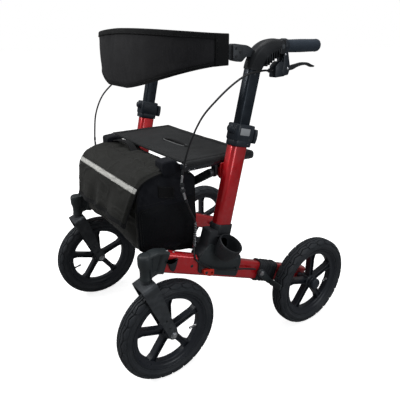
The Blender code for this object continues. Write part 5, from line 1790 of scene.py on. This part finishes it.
def make_bag_tabs():
    """The two padded corner tabs that hang the bag from the seat, and its webbing handle."""
    tabs = Shape()
    outline = [(-0.2130, 0.5560), (-0.2125, 0.5895), (-0.2070, 0.5935), (-0.1780, 0.5945), (-0.1690, 0.5880)]
    outline += [(-0.1645, 0.5800), (-0.1500, 0.5760), (-0.1480, 0.5540)]
    for hand in (1, -1):
        tabs.slab(side_plane(hand * 0.1735), soften(outline, 0.006), 0.0450, 0.0045)
    corners = add("bag_corner_tabs", tabs, BAG_SIDE, None, (), 60)
    remesh = corners.modifiers.new("Even mesh", "REMESH")
    remesh.mode = "VOXEL"
    remesh.voxel_size = 0.0022
    bake(corners)
    smooth_over(corners)
    crumple(corners, 0.0010, 0.0008)
    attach(corners, "left_frame")
    fold_bag(corners)

    keys = [(-0.180, -0.1885, 0.562), (-0.160, -0.1870, 0.5760), (-0.130, -0.1855, 0.5850), (-0.095, -0.1850, 0.5895)]
    keys += [(-0.060, -0.1855, 0.5905), (-0.034, -0.1870, 0.5860), (-0.014, -0.1890, 0.5770), (0.000, -0.1905, 0.5640)]
    path = curve_through(keys, 70)
    handle = Shape()
    handle.sweep(path, [rounded(0.0200, 0.0034, 0.0014, 3)] * len(path), side=Y)
    thread = Shape()
    for y in (-0.0080, 0.0080):
        for face in (0.0019, -0.0019):
            thread.stitches([p + Vector((0, y, face)) for p in path[4:-4]], Z if face > 0 else -Z, 0.005, 0.0004)
    fold_bag(add("bag_handle", handle, HEM, "left_frame", (), 50))
    fold_bag(add("bag_handle_stitches", thread, THREAD, "left_frame", (), 30))


def flap_profile():
    """Bezier-like keys of the flap's outer face as (y, z), with a point beyond each end."""
    low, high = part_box("bag_flap")
    keys = [(high.y + 0.001, high.z - 0.0005), (-0.2500, 0.5660), (-0.2780, 0.5530), (-0.2960, 0.5320)]
    keys += [(-0.3075, 0.5030), (-0.3160, 0.4680), (low.y - 0.0030, low.z - 0.006)]
    keys = [Vector(key) for key in keys]
    return [keys[0] * 2 - keys[1]] + keys + [keys[-1] * 2 - keys[-2]]


FLAP_KEYS = flap_profile()
FLAP_HALF_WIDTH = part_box("bag_flap")[1].x


def flap_point(u, v, lift=0.0):
    """The flap's outer face: u from -1 to 1 across, v from 0 at the hinge to 1 at the front hem."""
    place = v * (len(FLAP_KEYS) - 3)
    i = min(int(place), len(FLAP_KEYS) - 4)
    t = place - i
    a, b, c, d = FLAP_KEYS[i : i + 4]
    bend, lean = a * 2 - b * 5 + c * 4 - d, b * 3 - a - c * 3 + d
    spot = (b * 2 + (c - a) * t + bend * t**2 + lean * t**3) / 2
    slope = ((c - a) + bend * 2 * t + lean * 3 * t**2) / 2
    normal = Vector((slope.y, -slope.x)).normalized()
    front = ramp(v, 0.45, 0.7)
    x = u * FLAP_HALF_WIDTH * (1 - 0.125 * ramp(v, 0.50, 1.0))
    folds = 0.0046 * math.sin(u * 9.5 + 0.8 + 1.1 * math.sin(u * 3.1)) * front * ramp(v, 0.5, 1.0)
    folds += 0.0018 * noise.noise(Vector((x * 26, v * 2.6, 2.0))) * (0.2 + 0.8 * front)
    dents = 0.0062 * noise.noise(Vector((x * 11 + v * 3, v * 5.0, 7.5))) * (1 - 0.6 * front)
    ridge = noise.noise(Vector((x * 14 - v * 4, x * 8 + v * 6, 1.5)))
    creases = 0.0020 * max(0.0, 1 - abs(ridge) * 7)
    puff = 0.0050 * (1 - u**2) * math.sin(math.pi * min(v / 0.44, 1)) - 0.0012 * front
    drop = 0.0070 * ramp(abs(u), 0.955, 1.0) + 0.002 * ramp(abs(u), 0.80, 1.0)
    calm = 1 - 0.85 * ramp(abs(u), 0.90, 0.985)
    out = (folds + dents + creases) * calm + puff - drop + lift
    hem = 0.0055 * math.sin(u * 2.2 + 0.4) * ramp(v, 0.75, 1.0)
    pinch = 0.004 * ramp(v, 0.9, 1.0) * ramp(abs(u), 0.9, 1.0)
    return Vector((x, spot.x + normal.x * out, spot.y + normal.y * out + hem - pinch))


def flap_sheet(us, vs, outer, inner):
    """A thin closed sheet on the flap's surface."""
    rings = []
    for u in us:
        ring = [flap_point(u, v, outer) for v in vs]
        ring += [flap_point(u, v, inner) for v in reversed(vs)]
        rings.append(ring)
    shape = Shape()
    shape.skin(rings)
    return shape


def spread(low, high, count):
    return [low + (high - low) * i / count for i in range(count + 1)]


def make_flap():
    """The cover, with its bound edges, reflective ribbon and stitching."""
    body = "bag_flap"
    cover = flap_sheet(spread(-1, 1, 130), spread(0, 1, 70), 0.0, -0.0024)
    obj = add("flap_cover", cover, BAG, body, ["bag_flap"], 60)
    fold_bag(obj)

    ribbon = flap_sheet(spread(-0.997, 0.997, 130), spread(0.440, 0.522, 8), 0.0007, -0.0004)
    fold_bag(add("flap_ribbon", ribbon, RIBBON, body, (), 60))

    edges = flap_sheet(spread(-0.995, 0.995, 130), spread(0.950, 1.0, 6), 0.0014, -0.0036)
    fold_bag(add("flap_front_binding", edges, HEM, body, (), 60))
    binding = Shape()
    for hand in (1, -1):
        path = [flap_point(hand * 0.998, v, -0.0010) for v in spread(0.02, 1.0, 60)]
        path += [flap_point(hand * 0.97, 1.0, -0.0010)]
        binding.wire(path, 0.0019, 8, side=X)
    fold_bag(add("flap_side_binding", binding, HEM, body, (), 50))

    thread = Shape()
    for v, lift in ((0.940, 0.0006), (0.446, 0.0011), (0.516, 0.0011), (0.035, 0.0006)):
        path = [flap_point(u, v, lift) for u in spread(-0.95, 0.95, 110)]
        thread.stitches(path, lambda p: Vector((0, -0.7, 0.7)), 0.005, 0.0004)
    for hand in (1, -1):
        path = [flap_point(hand * 0.965, v, 0.0006) for v in spread(0.04, 0.95, 50)]
        thread.stitches(path, lambda p: Vector((0, -0.7, 0.7)), 0.005, 0.0004)
    fold_bag(add("flap_stitches", thread, THREAD, body, (), 30))


# ---------------------------------------------------------------- cables

# The route of a brake cable on the left side, from its nut on the handle to the brake arm.
CABLE_ROUTE = [(0.2610, 0.0640, 0.8010), (0.2655, 0.0400, 0.8020), (0.2685, -0.010, 0.7960)]
CABLE_ROUTE += [(0.2675, -0.055, 0.7750), (0.264, -0.100, 0.742), (0.259, -0.138, 0.705)]
CABLE_ROUTE += [(0.252, -0.164, 0.655), (0.243, -0.177, 0.604), (0.237, -0.184, 0.554)]
CABLE_ROUTE += [(0.234, -0.177, 0.515), (0.231, -0.158, 0.465), (0.231, -0.142, 0.426)]
CABLE_ROUTE += [(0.240, -0.150, 0.380), (0.262, -0.166, 0.352), (0.2755, -0.160, 0.332)]
CABLE_ROUTE += [(0.2765, -0.100, 0.2905), (0.2760, -0.008, 0.2615), (0.2755, 0.040, 0.2435)]


def barrels(shape, path, start, pieces):
    """Turned segments strung along a path, each a (length, radius) pair."""
    i = start
    for length, radius in pieces:
        way = (path[i + 2] - path[i]).normalized()
        across = X.cross(way).normalized()
        matrix = axes_at(path[i], across, way.cross(across))
        e = min(0.0006, radius * 0.2)
        profile = [(0, 0), (radius - e, 0), (radius, e), (radius, length - e), (radius - e, length), (0, length)]
        shape.turned(matrix, profile, 14)
        gone = 0.0
        while gone < length * 0.95 and i < len(path) - 3:
            gone += (path[i + 1] - path[i]).length
            i += 1
    return i


def nearest(path, z):
    return min(range(5, len(path) - 5), key=lambda i: abs(path[i].z - z))


def make_cable(name, side):
    """The brake cable, bent between the frame and the sliding handle, with its adjusters."""
    low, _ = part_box(f"{name}_brake_cable")
    bow = 0.040 if side < 0 else 0.0
    keys = []
    for number, (x, y, z) in enumerate(CABLE_ROUTE):
        keys.append(Vector((side * x, y - bow * math.sin(math.pi * min(number / 13, 1)), z)))
    path = curve_through(keys, 210)

    def bend(obj):
        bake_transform(obj)

    cable = Shape()
    cable.wire(path, 0.0025, 10)
    bend(add(f"{name}_cable", cable, CABLE, None, [f"{name}_brake_cable"], 60))

    bright = Shape()
    dark = Shape()
    place = nearest(path, 0.578)
    after = barrels(dark, path, place, [(0.010, 0.0034)])
    after = barrels(bright, path, after, [(0.020, 0.0031)])
    after = barrels(dark, path, after, [(0.009, 0.0054)])
    after = barrels(bright, path, after, [(0.006, 0.0036)])
    after = barrels(dark, path, after, [(0.009, 0.0058)])
    after = barrels(bright, path, after, [(0.022, 0.0036)])
    barrels(dark, path, after, [(0.008, 0.0040)])
    coil_start, coil_end = nearest(path, 0.428), nearest(path, 0.366)
    coil = []
    turns = 15
    for step in range(turns * 12):
        t = step / (turns * 12 - 1)
        i = coil_start + (coil_end - coil_start) * t
        point = path[int(i)].lerp(path[min(int(i) + 1, len(path) - 1)], i % 1)
        way = (path[int(i) + 1] - path[int(i) - 1]).normalized()
        across = X.cross(way).normalized()
        other = way.cross(across)
        angle = 2 * math.pi * step / 12
        coil.append(point + (across * math.cos(angle) + other * math.sin(angle)) * 0.0040)
    rings = []
    for i, point in enumerate(coil):
        way = (coil[min(i + 1, len(coil) - 1)] - coil[max(i - 1, 0)]).normalized()
        across = way.cross(Z).normalized()
        up = across.cross(way)
        rings.append([point + across * a + up * b for a, b in circle(0.0008, 6)])
    bright.skin(rings)
    bend(add(f"{name}_cable_adjuster", bright, STEEL, None, (), 30))
    bend(add(f"{name}_cable_ferrules", dark, PLASTIC, None, (), 30))

    clips = Shape()
    for index in (nearest(path, 0.300), nearest(path, 0.268)):
        spot = path[index]
        inner = side * (FRAME_X + (0.0150 if spot.z > 0.31 else 0.0200))
        middle = Vector(((inner + spot.x) / 2, spot.y, spot.z))
        clips.slab(axes_at(middle, X, BEAM_UP), rounded(abs(spot.x - inner) + 0.0075, 0.0085, 0.003), 0.0060, 0.0010)
    add(f"{name}_cable_clips", clips, PLASTIC, f"{name}_frame", (), 40)


# ---------------------------------------------------------------- stage


def area_light(name, place, target, size, power, colour=(1, 1, 1)):
    data = bpy.data.lights.new(name, "AREA")
    data.shape = "DISK"
    data.size = size
    data.energy = power
    data.color = colour
    light = bpy.data.objects.new(name, data)
    light.location = place
    light.rotation_euler = (Vector(target) - Vector(place)).to_track_quat("-Z", "Y").to_euler()
    bpy.context.scene.collection.objects.link(light)


def seen_or_lit(nodes, seen, lit):
    """One value for what the camera sees and another for the light given off."""
    path = nodes.new("ShaderNodeLightPath")
    mix = nodes.new("ShaderNodeMix")
    mix.inputs[2].default_value = lit
    mix.inputs[3].default_value = seen
    nodes.id_data.links.new(path.outputs["Is Camera Ray"], mix.inputs[0])
    return mix.outputs[0]


def make_floor():
    nodes = Nodes("pale_floor")
    tone = nodes.remap(nodes.noise(3, 4), 0.3, 0.7, 0, 1)
    shown = nodes.mix(tone, (0.93, 0.93, 0.93), (0.90, 0.90, 0.90))
    tree = nodes.material.node_tree
    shown = nodes.mix(seen_or_lit(tree.nodes, 1.0, 0.0), (0.30, 0.30, 0.30), shown)
    nodes.link(shown, nodes.shader.inputs["Base Color"])
    nodes.shader.inputs["Roughness"].default_value = 0.9
    nodes.shader.inputs["Specular IOR Level"].default_value = 0.1
    nodes.shader.inputs["Emission Color"].default_value = (1, 1, 1, 1)
    glow = seen_or_lit(tree.nodes, 0.82, 0.0)
    nodes.link(glow, nodes.shader.inputs["Emission Strength"])
    work = bmesh.new()
    bmesh.ops.create_circle(work, cap_ends=True, radius=40, segments=96)
    mesh = bpy.data.meshes.new("floor")
    work.to_mesh(mesh)
    work.free()
    mesh.materials.append(nodes.material)
    floor = bpy.data.objects.new("floor", mesh)
    bpy.context.scene.collection.objects.link(floor)


def make_world():
    """A white backdrop that lights the object only softly."""
    world = bpy.data.worlds.new("studio")
    world.use_nodes = True
    back = world.node_tree.nodes["Background"]
    back.inputs["Color"].default_value = (1.0, 1.0, 1.0, 1)
    strength = seen_or_lit(world.node_tree.nodes, 1.0, 0.22)
    world.node_tree.links.new(strength, back.inputs["Strength"])
    bpy.context.scene.world = world


CAMERA_PLACE = Vector((1.0443, -0.6875, 0.8767))
CAMERA_YAW = math.radians(56.24)
CAMERA_PITCH = math.radians(21.13)
CAMERA_ROLL = math.radians(-0.65)


def make_camera():
    """The viewing angle from the walker's front left, a little above it."""
    forward = Vector((-math.sin(CAMERA_YAW), math.cos(CAMERA_YAW), 0)) * math.cos(CAMERA_PITCH)
    forward.z = -math.sin(CAMERA_PITCH)
    right = forward.cross(Z).normalized()
    up = right.cross(forward)
    across = right * math.cos(CAMERA_ROLL) + up * math.sin(CAMERA_ROLL)
    above = up * math.cos(CAMERA_ROLL) - right * math.sin(CAMERA_ROLL)
    matrix = Matrix((across, above, -forward)).transposed().to_4x4()
    matrix.translation = CAMERA_PLACE
    data = bpy.data.cameras.new("camera")
    data.lens = 36.75
    data.sensor_width = 36
    data.shift_x = 0.01435
    data.shift_y = -0.0077
    data.clip_start = 0.01
    camera = bpy.data.objects.new("camera", data)
    camera.matrix_world = matrix
    bpy.context.scene.collection.objects.link(camera)
    bpy.context.scene.camera = camera


# ---------------------------------------------------------------- the whole object

for name, side in SIDES:
    for place, body in (("front", f"{name}_front_wheel"), ("rear", f"{name}_rear_wheel")):
        make_tyre(f"{name}_{place}", side, body)
        make_rim(f"{name}_{place}", side, body)
    make_rear_axle(name, side)
    make_fork(name, side)
    make_head(name, side)
    make_side_beam(name, side)
    make_foot_bracket(name, side)
    make_beam_sleeve(name, side)
    make_brake_arm(name, side)
    make_upright(name, side)
    make_clamp(name, side)
    make_inner_tube(name, side)
    make_elbow(name, side)
    make_grip(name, side)
    make_brake_housing(name, side)
    make_brake_lever(name, side)
    make_strap_bracket(name, side)
    make_seat_rail(name, side)
    make_rail_sleeve(name, side)
    make_cable(name, side)
make_cane_cup()
make_left_fittings()
make_brace()
make_seat()
make_strap()
make_bag()
make_flap()

make_floor()
make_world()
area_light("key", (-1.2, -2.2, 2.6), (0, -0.1, 0.4), 1.4, 46)
area_light("top", (0.3, 0.2, 3.0), (0, 0, 0.4), 2.2, 34)
area_light("side", (2.8, 0.6, 1.2), (0, 0, 0.4), 1.4, 14, (0.92, 0.96, 1.0))
make_camera()
bpy.context.scene.view_settings.view_transform = "Standard"
